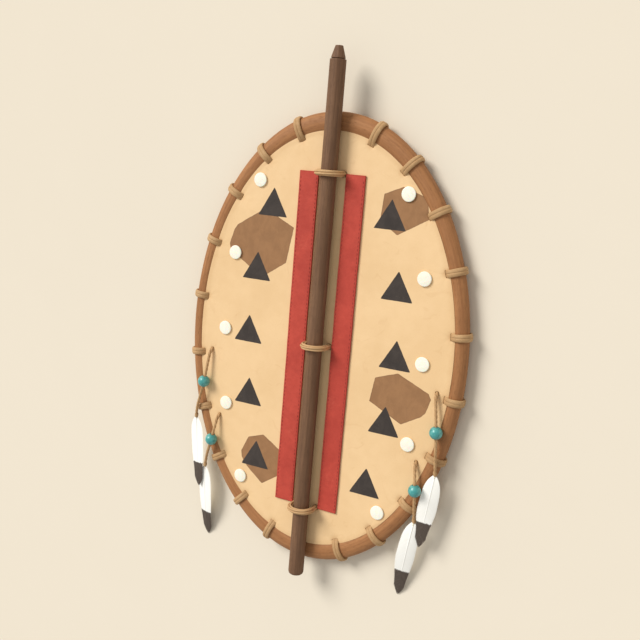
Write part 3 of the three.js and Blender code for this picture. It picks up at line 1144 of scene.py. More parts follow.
@dataclass
class Lacings:
    """Turns of dry thong round the hoop and through the hide's margin."""

    hoop: Hoop
    hide_middle: float
    places: int = 22
    turns: int = 2
    thick: float = 6.0
    half_band: float = 7.2
    clearance: float = 0.3
    strip: float = 1.5
    inner_thick: float = 3.2
    half_thick: float = 2.95
    half_thinned: float = 1.3
    overlap: float = 0.45
    tail: float = 8.0
    crossing: float = 50.0
    lean: float = 0.35
    crown: float = 0.45
    steps: int = 60
    seed: int = 100

    def angles(self) -> list[float]:
        """Angles of the lacings; the staff takes the two places at the ends."""
        every = [(i + 0.5) * 2 * math.pi / self.places for i in range(self.places)]
        return [angle for angle in every if abs(math.cos(angle)) > 1e-6]

    def reach(self, place: Setting) -> Spot:
        """Sizes of a thong's way round the hoop.

        Args:
            place: Where the lacing is.

        Returns:
            Half sizes of its middle line: outside, inside and height.
        """
        stock, spare = self.hoop.stock, self.clearance
        above = self.hide_middle - self.hoop.centre[2]
        hoop_share, thong_share = (math.sqrt(1 - (above / r) ** 2) for r in (stock, stock + spare))
        stand_off = (place.half_width * hoop_share + 2 * spare + self.strip) / thong_share
        return (
            place.half_width + (spare + self.thick) / 2,
            stand_off + self.inner_thick / 2,
            stock + (spare + self.thick) / 2,
        )

    def slot(self, angle: float) -> tuple[Array, Array, Array]:
        """The hide's hole for a lacing.

        Args:
            angle: Where the lacing is on the hoop.

        Returns:
            The hole's middle, and its ways out and along.
        """
        place = self.hoop.setting(angle)
        _, inside, height = self.reach(place)
        lift = (self.hide_middle - self.hoop.centre[2]) / height
        return place.centre - place.out * inside * math.sqrt(1 - lift ** 2), place.out, place.along

    def wound(self, number: int, angle: float) -> Draft:
        """A strip wound round and round, shifting over under the hoop.

        Args:
            number: Which lacing it is, from 1.
            angle: Where it is on the hoop.

        Returns:
            The lacing.
        """
        rng = random.Random(self.seed + number)
        place = self.hoop.setting(angle)
        outside, inside, height = self.reach(place)
        half_strip = self.half_band / self.turns
        count, whole = self.turns * self.steps, 360 * self.turns
        turn = np.linspace(self.tail, whole - self.tail, count)
        index, local = np.minimum(turn // 360, self.turns - 1), turn % 360
        shift = index + smooth(local, 360 - self.crossing, 360 + self.crossing) * (index < self.turns - 1)
        shift = shift - (1 - smooth(local, -self.crossing, self.crossing)) * (index > 0)
        leans = [rng.uniform(-self.lean, self.lean) for _ in range(self.turns + 1)]
        lean = np.interp(turn / 360, range(self.turns + 1), leans)
        side = (shift - (self.turns - 1) / 2) * 2 * half_strip + lean * np.sin(np.radians(turn))
        theta = np.radians(turn - 90)
        cos = np.cos(theta)
        across = np.where(cos > 0, outside, inside) * cos + lean * 0.5 * cos
        line = place.centre + place.out * across[:, None] + place.along * side[:, None]
        line[:, 2] += (height - 0.05) * np.sin(theta)
        thickness = self.half_thick - self.half_thinned * smooth(-cos, 0.2, 0.9)
        ends = np.minimum(smooth(turn, 0, 40), smooth(whole - turn, 0, 40)) * 0.5 + 0.5
        vary = 1 + 0.05 * np.sin(turn / 47 + rng.uniform(0, 6)) + 0.03 * np.sin(turn / 13)
        sizes = np.stack([thickness * ends, (half_strip + self.overlap) * vary * ends], 1)
        section = round_section(np.ones(count), 20, power=3.0) * sizes[:, None]
        _, radial, _ = ride_frames(line, steady=place.along)
        outward = np.sign(((line - place.centre) * radial).sum(1))[:, None]
        spread = np.abs(side[:, None] + section[..., 1]) / self.half_band
        outside_face = section[..., 0] * outward > 0
        section[..., 0] *= np.where(outside_face, 1 - self.crown * np.clip(spread, 0, 1) ** 2.2, 1)
        return sweep(line, section, steady=place.along).noted(tone=rng.random())

    def build(self) -> None:
        """Every lacing as a piece."""
        for number, angle in enumerate(self.angles(), 1):
            name = f"{number:02d}"
            make_piece(f"lacing_{name}", self.wound(number, angle), [LACING], f"lashing_{name}")


@dataclass
class Hide:
    """Oval of rawhide, drawn tight in the hoop and painted with marks and patches.

    The marks are triangles, given by their middles in one quarter; each patch is given by
    its corners, all from the oval's middle.
    """

    hoop: Hoop
    lacings: Lacings
    tie_holes: list[Flat]
    thong_holes: list[Flat]
    back: float
    face: float
    clearance: float = 0.3
    fine: float = 2.9
    coarse: float = 8.0
    rim_steps: int = 760
    hole_steps: int = 26
    face_roll: float = 0.45
    back_roll: float = 0.3
    back_share: float = 0.4
    slot_half_out: float = 2.1
    slot_spare: float = 0.6
    tie_hole_radius: float = 6.9
    thong_hole_radius: float = 4.3
    mark_side: float = 69.4
    marks_below: float = 1.9
    marks: tuple[Flat, ...] = ((133.2, 277.2), (162.0, 138.6), (172.3, 0.0))
    patches: tuple[tuple[Flat, ...], ...] = (
        ((-217, 229), (-151, 270), (-80, 236), (-93, 161),
         (-149, 123), (-231, 173), (-234, 187), (-225, 217)),
        ((115, 324), (155, 341), (206, 324), (213, 283), (150, 246), (111, 271)),
        ((133, -45), (181, -28), (250, -57), (256, -68),
         (247, -98), (239, -107), (198, -131), (125, -96)),
        ((-154, -235), (-117, -222), (-72, -249), (-72, -306),
         (-112, -334), (-153, -303), (-168, -284), (-170, -270)),
    )

    def half_width_at(self, height: float) -> float:
        """Half the hide's width where its edge meets the hoop at a height."""
        above = height - self.hoop.centre[2]
        return self.hoop.half_width - math.sqrt(self.hoop.stock ** 2 - above ** 2) - self.clearance

    def rim_distance(self, flat: Array) -> Array:
        """Measures to the hide's edge.

        Args:
            flat: Rows of x and y, in millimetres.

        Returns:
            How far each row is from the edge.
        """
        away = flat[:, :2] - self.hoop.centre[:2]
        half = self.half_width_at(self.face)
        share = np.hypot(away[:, 0] / half, away[:, 1] / (half * self.hoop.stretch))
        return (1 / np.maximum(share, 1e-3) - 1) * np.hypot(*away.T)

    def tug(self, flat: Array) -> tuple[Array, Array]:
        """Measures to the nearest lacing hole.

        Args:
            flat: Rows of x and y, in millimetres.

        Returns:
            For each row its distance from that hole, and the angle round it.
        """
        holes = np.array([self.lacings.slot(a)[0][:2] for a in self.lacings.angles()])
        away = flat[:, None, :2] - holes[None]
        far = np.hypot(away[..., 0], away[..., 1])
        nearest = (np.arange(len(flat)), far.argmin(1))
        near = away[nearest]
        return far[nearest], np.arctan2(near[:, 1], near[:, 0])

    def relief(self, flat: Array) -> Array:
        """How far the dried hide stands above its even level.

        Args:
            flat: Rows of x and y, in millimetres.

        Returns:
            One height for each row, in millimetres.
        """
        spots = np.column_stack([flat[:, :2], np.zeros(len(flat))])
        rim = self.rim_distance(flat)
        calm = smooth(rim, 0, 40)
        # Broad and small swells, then what the lacings raise and pull in, then the other holes.
        height = 0.55 * cloud(spots, 150.0, 11) + 0.16 * cloud(spots, 38.0, 12) - 0.25
        far, turn = self.tug(flat)
        height += 0.9 * np.exp(-rim / 8.0) * (1 - dip(far, 17.0))
        folds = np.cos(9 * turn + 2.5 * cloud(spots, 60.0, 13))
        height += 0.3 * np.exp(-far / 22.0) * folds * (1 - calm * 0.5)
        height -= 1.0 * dip(far, 9.0)
        for x, y in self.tie_holes + self.thong_holes:
            height -= 0.8 * dip(np.hypot(flat[:, 0] - x, flat[:, 1] - y), 10.0)
        return np.minimum(height, 0.25 + 1.2 * (1 - calm))

    def painted(self, flat: Array, shapes: Sequence[Array]) -> Array:
        """How many metres inside one of the shapes each row is; negative outside."""
        own = flat - self.hoop.centre[:2]
        return np.max([depth_inside(own, np.array(shape, float)) for shape in shapes], axis=0) * MM

    def triangles(self) -> list[Array]:
        """Sets out the marks, the same in each quarter.

        Returns:
            The corners of each, from the oval's middle.
        """
        corners = on_circle(np.radians([90, 210, 330])) * self.mark_side / math.sqrt(3)
        middles = [(sx * x, sy * y) for x, y in self.marks for sx in (-1, 1) for sy in (-1, 1)]
        return [corners + middle - [0, self.marks_below] for middle in middles]

    def loops(self, half_width: float) -> list[Array]:
        """The lines that bound the hide at one level.

        Args:
            half_width: Half its width there.

        Returns:
            The outline, anticlockwise, then every hole, clockwise.
        """
        centre, stretch = self.hoop.centre[:2], self.hoop.stretch
        loops = [on_circle(full_turn(self.rim_steps), stretch) * half_width + centre]
        circle = on_circle(-full_turn(self.hole_steps))
        half_along = self.lacings.half_band + self.slot_spare
        box = circle * ((np.abs(circle) ** 4).sum(1) ** -0.25)[:, None]
        box = box * [self.slot_half_out, half_along]
        for angle in self.lacings.angles():
            middle, out, along = self.lacings.slot(angle)
            slot = middle[:2] - centre + out[:2] * box[:, :1] + along[:2] * box[:, 1:]
            share = np.hypot(slot[:, 0], slot[:, 1] / stretch) / (half_width - 0.6)
            loops.append(centre + slot / np.maximum(share, 1)[:, None])
        for middles, radius in (
            (self.tie_holes, self.tie_hole_radius), (self.thong_holes, self.thong_hole_radius)
        ):
            loops += [np.array(middle) + radius * circle for middle in middles]
        return loops

    def scattered(self, loops: list[Array], spacing: float) -> Array:
        """Even points inside the outline that keep clear of its line and the holes.

        Args:
            loops: The outline, then the holes.
            spacing: Distance between the points.

        Returns:
            Rows of x and y.
        """
        low, high = loops[0].min(0), loops[0].max(0)
        rows = []
        for n, y in enumerate(np.arange(low[1], high[1], spacing * math.sqrt(3) / 2)):
            xs = np.arange(low[0] + spacing * (n % 2) / 2, high[0], spacing)
            rows.append(np.stack([xs, np.full(len(xs), y)], 1))
        inner = np.vstack(rows)
        away = inner - self.hoop.centre[:2]
        half = (loops[0] - self.hoop.centre[:2]).max(0) - 0.7 * spacing
        inner = inner[np.hypot(away[:, 0] / half[0], away[:, 1] / half[1]) < 1]
        for loop in loops[1:]:
            middle = loop.mean(0)
            size = np.hypot(*(loop - middle).T).max() + 0.6 * spacing
            close = np.flatnonzero(np.hypot(*(inner - middle).T) < size)
            gap = np.hypot(*(inner[close][:, None] - loop[None]).transpose(2, 0, 1)).min(1)
            lost = (gap < 0.5 * min(spacing, self.fine)) | (depth_inside(inner[close], loop) >= 0)
            inner = np.delete(inner, close[lost], 0)
        return inner

    def filled(self, loops: list[Array], spacing: float) -> tuple[Array, Array]:
        """Triangles between the outline and the holes.

        Args:
            loops: The outline, then the holes.
            spacing: Distance between inner points.

        Returns:
            Points, those of the loops first, and anticlockwise triangles.
        """
        flat = np.vstack([*loops, self.scattered(loops, spacing)])
        edges = [pair for loop in numbered(loops) for pair in loop]
        places, _, faces, *_ = delaunay_2d_cdt([Vector(p) for p in flat.tolist()], edges, [], 1, 1e-6)
        if len(places) != len(flat):
            raise ValueError(f"the hide's mesh lost points: {len(flat)} became {len(places)}")
        tri = np.array(faces)
        middles = flat[tri].mean(1)
        widest_hole = 12
        for loop in loops[1:]:
            close = np.flatnonzero(np.hypot(*(middles - loop.mean(0)).T) < widest_hole)
            lost = close[depth_inside(middles[close], loop) >= 0]
            tri, middles = np.delete(tri, lost, 0), np.delete(middles, lost, 0)
        a, b, c = (flat[tri[:, n]] for n in range(3))
        turned_over = (b - a)[:, 0] * (c - a)[:, 1] - (b - a)[:, 1] * (c - a)[:, 0] < 0
        tri[turned_over] = tri[turned_over][:, ::-1]
        return flat, tri

    def build(self) -> None:
        """The hide as one closed sheet with real holes."""
        upper, lower = (self.loops(self.half_width_at(z)) for z in (self.face, self.back))
        top, top_faces = self.filled(upper, self.fine)
        under, under_faces = self.filled(lower, self.coarse)
        edge = sum(len(loop) for loop in upper)
        height = self.face + self.relief(top)
        height[:edge] -= self.face_roll
        depth = self.back + self.back_share * self.relief(under)
        depth[:edge] += self.back_roll
        below = len(top)
        sides = [(a, below + a, below + b, b) for loop in numbered(upper) for a, b in loop]
        points = np.vstack([np.column_stack([top, height]), np.column_stack([under, depth])])
        faces = [tuple(f) for f in top_faces.tolist()]
        faces += [tuple(f) for f in (under_faces[:, ::-1] + below).tolist()] + sides
        draft = Draft(points, faces, points[np.array([i for face in faces for i in face])])
        far = np.full(len(under), 1.0)
        draft.noted(
            mark=np.concatenate([self.painted(top, self.triangles()), -far]),
            patch=np.concatenate([self.painted(top, self.patches), -far]),
            rim=np.concatenate([self.rim_distance(top) * MM, far]),
            tug=dip(self.tug(points)[0], 8.0),
        )
        make_piece("rawhide_face", draft, [HIDE], "hide_face")


def numbered(loops: list[Array]) -> list[list[tuple[int, int]]]:
    """Numbers the points of loops that follow one another.

    Args:
        loops: The loops.

    Returns:
        For each loop, the numbers at the two ends of each of its sides.
    """
    pairs, start = [], 0
    for loop in loops:
        n = len(loop)
        pairs.append([(start + i, start + (i + 1) % n) for i in range(n)])
        start += n
    return pairs


# ---- The staff and its ties ----------------------------------------------------------------


@dataclass
class Staff:
    """Round staff with a cut tip, laid on the hoop."""

    foot: float
    tip: float
    height: float
    radius: float = 16.8
    tip_length: float = 26.0
    sides: int = 56
    shaved_faces: int = 8
    tip_faces: int = 9
    body_rings: int = 400
    tip_rings: int = 22

    @classmethod
    def from_frame(cls) -> "Staff":
        """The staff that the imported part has."""
        low, high = box_of("staff")
        return cls(low[1], high[1], (low[2] + high[2]) / 2)

    def profile(self) -> Array:
        """The staff's outline.

        Returns:
            Place and radius of each ring, foot to tip.
        """
        shoulder = self.tip - self.tip_length
        body = np.linspace(self.foot + 7.0, shoulder - 1.0, self.body_rings)
        cone = np.linspace(shoulder + 2.5, self.tip - 1.0, self.tip_rings)
        rounded_foot = ((0.0, 12.2), (0.7, 13.9), (2.2, 15.5), (4.2, 16.3))
        scored = (
            (-0.5, self.radius - 0.1), (0.0, self.radius - 0.6),
            (0.3, 13.0), (1.0, 12.4), (1.8, 12.8), (2.1, 14.9),
        )
        return np.array([
            *((self.foot + y, r) for y, r in rounded_foot),
            *((y, self.radius) for y in body),
            *((shoulder + y, r) for y, r in scored),
            *((y, np.interp(y, [shoulder, self.tip], [15.6, 7.7])) for y in cone),
            (self.tip - 0.3, 7.4),
            (self.tip, 6.9),
        ])

    def build(self) -> None:
        """Shaved pole: long shallow hollows on the body and flat cuts on the tip."""
        rings = self.profile()
        places, count = rings[:, 0], len(rings)
        line = np.column_stack([np.zeros(count), places, np.full(count, self.height)])
        circle = round_section(np.ones(count), self.sides)
        along = np.broadcast_to(places[:, None, None] / 9, (count, self.sides, 1))
        spots = np.concatenate([circle * 17, along], 2)
        hollow = np.maximum(cloud(spots, 9.0, 21), 0)
        ripple = cloud(spots * [1, 1, 0.4], 3.2, 22)
        turn = full_turn(self.sides)
        wander = 0.16 * cloud(on_axis(places / 9), 14.0, 23)[:, None]
        shaved = faceted(turn + 0.3 + wander, self.shaved_faces)
        body = (0.8 + 0.2 * shaved) * (1 - 0.018 * hollow - 0.005 * (1 + ripple))
        cut = faceted(turn + 0.2, self.tip_faces)
        shoulder = self.tip - self.tip_length
        on_tip = smooth(places, shoulder + 0.5, shoulder + 3.0)[:, None]
        shape = body * (1 - on_tip) + np.minimum(cut, 1.0)[None] * on_tip
        section = circle * (rings[:, 1:] * shape)[..., None]
        draft = sweep(line, section, steady=UP)
        make_piece("carved_staff", draft, [DARK_WOOD], "staff", crease=32)


@dataclass
class Ties:
    """Bundles of thong over the staff, down through the hide and across its back."""

    staff: Staff
    back: float
    bundle: float = 6.3
    slack: float = 0.7
    clearance: float = 0.3
    corner: float = 8.0
    strands: int = 6
    sides: int = 10
    seed: int = 40
    names: tuple[str, ...] = ("lower", "middle", "upper")

    @property
    def leg(self) -> float:
        """How far from the staff's middle the bundle goes down."""
        return self.staff.radius + self.slack + self.bundle

    def places(self) -> dict[str, float]:
        """Where each tie is along the staff."""
        boxes = {name: box_of(f"staff_tie_{name}") for name in self.names}
        return {name: float((low[1] + high[1]) / 2) for name, (low, high) in boxes.items()}

    def loop(self, y: float) -> Array:
        """Middle line of a bundle.

        Args:
            y: Its place along the staff.

        Returns:
            Points round it, evenly spaced.
        """
        low = self.back - self.clearance - self.bundle + self.corner
        side = self.leg - self.corner
        rows = []
        for x, z, r, start, end, steps in (
            (0.0, self.staff.height, self.leg, 0, 180, 40),
            (-side, low, self.corner, 180, 270, 12),
            (side, low, self.corner, 270, 360, 12),
        ):
            for turn in np.radians(np.linspace(start, end, steps)):
                rows.append((x + r * math.cos(turn), y, z + r * math.sin(turn)))
        return evenly(np.array([*rows, rows[0]]), 1.8)[:-1]

    def bound(self, number: int, y: float) -> Draft:
        """A core and one long thong that goes round six times beside itself.

        Args:
            number: Which tie it is.
            y: Its place along the staff.

        Returns:
            The tie.
        """
        rng = random.Random(self.seed + number)
        line = self.loop(y)
        _, across, up = ride_frames(line, True, (0, 1, 0))
        count = len(line)
        strand = self.bundle / 3
        turns = np.arange(count * self.strands) / count
        spin = 2 * math.pi * (turns / self.strands + number * 0.09)
        stray = np.sin(turns * 2 * math.pi / self.strands * 7 + rng.uniform(0, 6)) * 0.12
        ring = np.arange(len(turns)) % count
        away = on_circle(spin + stray) * (2 * strand + stray - 0.1)[:, None]
        wound = line[ring] + across[ring] * away[:, :1] + up[ring] * away[:, 1:]
        girth = strand * (1 + 0.05 * np.sin(turns * 19) + 0.03 * np.sin(turns * 43))
        outer = sweep(wound, round_section(girth, self.sides, power=2.3), closed=True)
        core = sweep(line, round_section(np.full(count, strand), 8), True, (0, 1, 0))
        tones = np.array([rng.random() for _ in range(self.strands)])
        passes = np.repeat(np.arange(len(turns)) // count, self.sides)
        return Draft.joined([outer.noted(tone=tones[passes]), core.noted(tone=0.6)])

    def build(self) -> None:
        """Every tie as a piece."""
        for number, (name, y) in enumerate(self.places().items()):
            make_piece(f"binding_{name}", self.bound(number, y), [BINDING], f"staff_tie_{name}")


# ---- Strips, discs and strap -------------------------------------------------------------


@dataclass
class Bands:
    """Strips of red dyed hide on the face, sewn down beside the staff."""

    hide: Hide
    ease: float = 1.1
    seam_inset: float = 3.6
    stitch_length: float = 5.2
    stitch_step: float = 8.4
    thread: float = 0.55
    follow: float = 0.8
    over_face: int = 22
    seed: int = 60

    def build(self) -> None:
        """Both strips."""
        for number, side in enumerate(("left", "right")):
            draft = self.strip(side, number)
            make_piece(f"red_strip_{side}", draft, [RED_HIDE, RED_THREAD], f"band_{side}")

    def strip(self, side: str, number: int) -> Draft:
        """A strip that follows the hide, with a row of stitches along each long edge.

        Args:
            side: Which strip it is.
            number: The same as a number.

        Returns:
            The strip and its stitches.
        """
        low, high = box_of(f"band_{side}")
        middle, half, thick = (low[0] + high[0]) / 2, (high[0] - low[0]) / 2, (high[2] - low[2]) / 2
        start, end = low[1], high[1]
        near_end = np.array([0, 0.25, 0.8])
        body = np.arange(start + 2.0, end - 2.0, 2.6)
        places = np.concatenate([start + near_end, body, (end - near_end)[::-1]])
        count = len(places)
        flat = np.column_stack([np.full(count, middle), places])
        line = np.column_stack([flat, low[2] + thick + self.hide.relief(flat) * self.follow])
        ring = np.repeat(plank_section(half, thick, self.ease, self.over_face)[None], count, 0)
        along = np.broadcast_to(places[:, None, None], (*ring.shape[:2], 1))
        spots = np.concatenate([ring, along], 2)
        ring[..., 0] += 0.45 * cloud(on_axis(places), 55.0, 31 + number)[:, None]
        ring[..., 0] *= 1 + 0.007 * cloud(on_axis(places), 24.0, 35)[:, None]
        ring[..., 1] += np.where(ring[..., 1] > 0, 0.16 * cloud(spots, 16.0, 41 + number), 0)
        inset = half - np.abs(spots[..., 0])
        ring[..., 1] -= 0.3 * dip(inset - self.seam_inset, 1.1) * (ring[..., 1] > 0)
        eased = np.minimum(
            smooth(places, start - 0.6, start + 0.9), smooth(-places, -end - 0.6, -end + 0.9)
        )
        ring[..., 1] *= eased[:, None]
        from_end = np.minimum(places - start, end - places)[:, None]
        edge = np.minimum(inset, from_end).ravel() * MM
        seams = [sweep(line, ring, steady=UP).noted(0, inset=edge, tone=0.5)]
        rng = random.Random(self.seed + number)
        for way in (-1, 1):
            x, y = middle + way * (half - self.seam_inset), start + 6.0
            while y + self.stitch_length < end - 5.0:
                ends = np.array([[x, y], [x + rng.uniform(-0.25, 0.25), y + self.stitch_length]])
                tops = high[2] - 0.35 + self.hide.relief(ends) * self.follow
                sewn = stitch(*np.column_stack([ends, tops]), UP, self.thread)
                seams.append(sewn.noted(1, inset=1.0, tone=rng.random()))
                y += self.stitch_step + rng.uniform(-0.3, 0.3)
        return Draft.joined(seams)


@dataclass
class Discs:
    """Bone discs, five down each side of the face."""

    hide: Hide
    names: tuple[str, ...] = ("upper", "upper_middle", "middle", "lower_middle", "lower")
    segments: int = 72
    wobble: float = 0.011
    most_tilt: float = 0.8
    rim: float = 1.7
    dome: float = 0.75
    seed: int = 80

    def profile(self, radius: float, thick: float) -> list[Flat]:
        """From the flat underside over a rounded rim to a low dome.

        Args:
            radius: The disc's radius.
            thick: Its thickness in the middle.

        Returns:
            Rows of radius and height.
        """
        flat = radius - self.rim
        rows = [(0.0, 0.0), (radius - 2.2, 0.0), (radius - 0.7, 0.35)]
        for turn in np.radians(np.arange(-50, 91, 14)):
            rows.append((flat + self.rim * math.cos(turn), 2.2 + 1.6 * math.sin(turn)))
        for share in (0.85, 0.7, 0.5, 0.3, 0.15):
            rows.append((flat * share, thick - self.dome * share ** 2))
        return rows + [(0.0, thick)]

    def build(self) -> None:
        """All ten discs, each a little out of round and with its own tone."""
        names = [f"{side}_{name}" for side in ("left", "right") for name in self.names]
        for number, name in enumerate(names):
            rng = random.Random(self.seed + number)
            low, high = box_of(f"disc_{name}")
            middle = (low + high) / 2
            profile = self.profile((high[0] - low[0]) / 2, high[2] - low[2])
            draft = turned(profile, self.segments, self.wobble, number).noted(tone=rng.random())
            level = low[2] + float(self.hide.relief(middle[None, :2])[0])
            place = Matrix.Translation((middle[0], middle[1], level))
            lean = math.radians(rng.uniform(-self.most_tilt, self.most_tilt))
            spin = Matrix.Rotation(rng.uniform(0, 6.28), 4, "Z")
            draft.moved(place @ Matrix.Rotation(lean, 4, "X") @ spin)
            make_piece(f"bone_disc_{name}", draft, [BONE], f"disc_{name}")


@dataclass
class HandStrap:
    """Leather strap across the back, bowed away from it to leave room for the fingers."""

    half_width: float = 19.0
    thick: float = 4.0
    end: float = 76.0
    bend: float = 58.0
    flat: float = 34.0
    drop: float = 23.0
    seams: tuple[float, ...] = (-72.0, -63.0, 63.0, 72.0)
    stitch_length: float = 4.2
    thread: float = 0.6

    def build(self) -> None:
        """The strap and the stitches that hold its ends."""
        low, high = box_of("hand_strap")
        y, top = (low[1] + high[1]) / 2, high[2] - self.thick / 2
        close = self.end - 0.6
        xs = np.concatenate([[-self.end, -close], np.arange(-74, 75, 2.0), [close, self.end]])
        lift = top - self.drop * (1 - smooth(np.abs(xs), self.flat, self.bend))
        line = np.column_stack([xs, np.full(len(xs), y), lift])
        plank = plank_section(self.half_width, self.thick / 2, 1.2, 14)
        ring = np.repeat(plank[None], len(xs), 0)
        ring[[0, -1], :, 1] *= 0.6
        inset = np.minimum(self.half_width - np.abs(ring[..., 0]), (self.end - np.abs(xs))[:, None])
        parts = [sweep(line, ring, steady=UP).noted(0, inset=inset.ravel() * MM, tone=0.5)]
        level = top - self.thick / 2
        for x in self.seams:
            for start in y + np.arange(-15.0, 12.0, 6.0):
                ends = (x, start, level), (x, start + self.stitch_length, level)
                sewn = stitch(*ends, (0, 0, -1), self.thread)
                parts.append(sewn.noted(1, inset=1.0, tone=0.4))
        make_piece("leather_strap", Draft.joined(parts), [STRAP_HIDE, PALE_THREAD], "hand_strap")


# ---- Pendants ---------------------------------------------------------------------------


class Side(Enum):
    """Which side of the shield a pendant hangs on; the value is its direction in X."""

    LEFT = -1
    RIGHT = 1


@dataclass(frozen=True)
class Route:
    """Stops of a pendant, from the oval's centre and the ground, in millimetres."""

    name: str
    side: Side
    hole: Flat
    bead: Spot
    crest: Spot
    quill: Spot
    tip: Spot
    arch: float


ROUTES = (
    Route("right_upper", Side.RIGHT, (266.6, -51.4), (277.9, -127.7, 50.0), (282.7, -187.0, 49.2),
          (283.4, -216.2, 42.0), (263.0, -377.0, 36.0), 1.5),
    Route("right_lower", Side.RIGHT, (238.8, -200.8), (247.8, -254.9, 52.4), (248.2, -293.0, 45.0),
          (248.3, -327.0, 36.0), (217.2, -510.1, 1.4), 7.0),
    Route("left_upper", Side.LEFT, (-262.6, -52.3), (-270.9, -127.4, 50.0), (-285.6, -189.0, 47.6),
          (-292.0, -215.7, 40.0), (-278.0, -381.0, 34.0), 1.5),
    Route("left_lower", Side.LEFT, (-233.3, -199.5), (-240.4, -255.8, 52.4), (-254.5, -296.0, 44.0),
          (-265.0, -328.7, 34.0), (-264.4, -506.6, 1.4), 7.0),
)


def bowed(start: Array, control: Array, end: Array, t: Array) -> Array:
    """Points of the simple curve from start to end that leans towards its control."""
    return start * (1 - t) ** 2 + control * 2 * t * (1 - t) + end * t ** 2


@dataclass
class Thong:
    """Twisted thong out of the hide and over the rim, with its knot, bead and whipping."""

    route: Route
    origin: Array
    back: float
    seed: int
    radius: float = 3.3
    bend: float = 13.5
    tail: float = 9.0
    pitch: float = 30.0
    root_swell: float = 0.2
    plies: int = 3
    ply_out: float = 0.44
    ply_share: float = 0.56
    bead_radius: float = 13.3
    bore: float = 4.4
    knot_radius: float = 1.7
    sinew_radius: float = 0.62
    sinew_turns: int = 10
    sinew_from: float = -8.5

    def shifted(self, *stop: float) -> Array:
        """A stop of the route in the part's frame."""
        return np.array(stop) + [self.origin[0], self.origin[1], 0]

    def stops(self) -> tuple[list[Array], Array]:
        """The thong's way.

        Returns:
            Its stops, and its direction through the bead.
        """
        foot = self.shifted(*self.route.hole, self.back)
        bead, crest, end = (
            self.shifted(*stop) for stop in (self.route.bead, self.route.crest, self.route.quill)
        )
        ahead = unit((bead - foot) * [1, 1, 0])
        stops = [foot - [0, 0, self.tail], foot - [0, 0, 4.0]]
        for turn in map(math.radians, (0, 30, 60, 85)):
            rise = np.array([0, 0, self.bend * math.sin(turn)])
            stops.append(foot + ahead * self.bend * (1 - math.cos(turn)) + rise)
        through = unit(crest - stops[-1])
        reach = through * self.bead_radius
        return [*stops, bead - reach, bead, bead + reach, crest, end], through

    def twisted(self, line: Array) -> Draft:
        """Lays the plies round each other.

        Args:
            line: The thong's middle line.

        Returns:
            The plies.
        """
        _, across, up = ride_frames(line)
        run = run_along(line)
        swell = 1 + self.root_swell * (1 - smooth(run, 0.04 * run[-1], 0.30 * run[-1]))
        girth = self.radius * (1 + 0.05 * cloud(on_axis(run), 11.0, self.seed)) * swell
        plies = []
        for number in range(self.plies):
            turn = (number / self.plies + run / self.pitch)[:, None] * 2 * math.pi
            away = (across * np.cos(turn) + up * np.sin(turn)) * girth[:, None]
            ply = sweep(line + away * self.ply_out, round_section(girth * self.ply_share, 10))
            plies.append(ply.noted(tone=0.2 + 0.25 * number))
        return Draft.joined(plies)

    def knot(self) -> Draft:
        """Knot that holds the thong behind the hide.

        Returns:
            A trefoil of one ply.
        """
        steps = 110
        turn = full_turn(steps)
        reach = 3.5 + self.knot_radius * np.cos(3 * turn)
        line = np.column_stack([on_circle(2 * turn) * reach[:, None], 1.9 * np.sin(3 * turn)])
        line = line + self.shifted(*self.route.hole, self.back - 4.4)
        return sweep(line, round_section(np.full(steps, self.knot_radius), 8), True).noted(tone=0.5)

    def bead(self, through: Array) -> Draft:
        """Bead with eased mouths.

        Args:
            through: The direction of its bore.

        Returns:
            The bead in its place.
        """
        limit = math.acos((self.bore + 0.9) / self.bead_radius)
        mouth = -self.bead_radius * math.sin(limit)
        rows = [(self.bore, mouth + 1.0), (self.bore + 0.3, mouth + 0.3)]
        for turn in np.linspace(-limit, limit, 27):
            rows.append((self.bead_radius * math.cos(turn), self.bead_radius * math.sin(turn)))
        rows += [(r, -z) for r, z in rows[1::-1]]
        aim = Vector(UP).rotation_difference(Vector(through)).to_matrix().to_4x4()
        place = Matrix.Translation(self.shifted(*self.route.bead))
        return turned(rows, 56, 0.008, self.seed).moved(place @ aim)

    def whipping(self, quill: Array, along: Array) -> Draft:
        """Sinew wound round the thong's end and the quill together.

        Args:
            quill: The end of the quill.
            along: The quill's direction.

        Returns:
            The sinew.
        """
        stops, _ = self.stops()
        before = unit(stops[-1] - stops[-2])
        share = np.linspace(0, 1, self.sinew_turns * 16)
        run = self.sinew_from + (1.0 - self.sinew_from) * share
        middle = quill + np.where(run[:, None] < 0, before, along) * run[:, None]
        girth = np.interp(run, [self.sinew_from, -3.0, -0.5, 1.0], [3.5, 3.6, 3.1, 2.5])
        axis = unit(before + along)
        side = unit(np.cross(axis, UP))
        away = on_circle(share * self.sinew_turns * 2 * math.pi)
        away = away[:, :1] * side + away[:, 1:] * np.cross(side, axis)
        section = round_section(np.full(len(run), self.sinew_radius), 6)
        draft = sweep(middle + away * girth[:, None], section, steady=axis)
        return draft.noted(1, reach=0.0, tone=0.5)


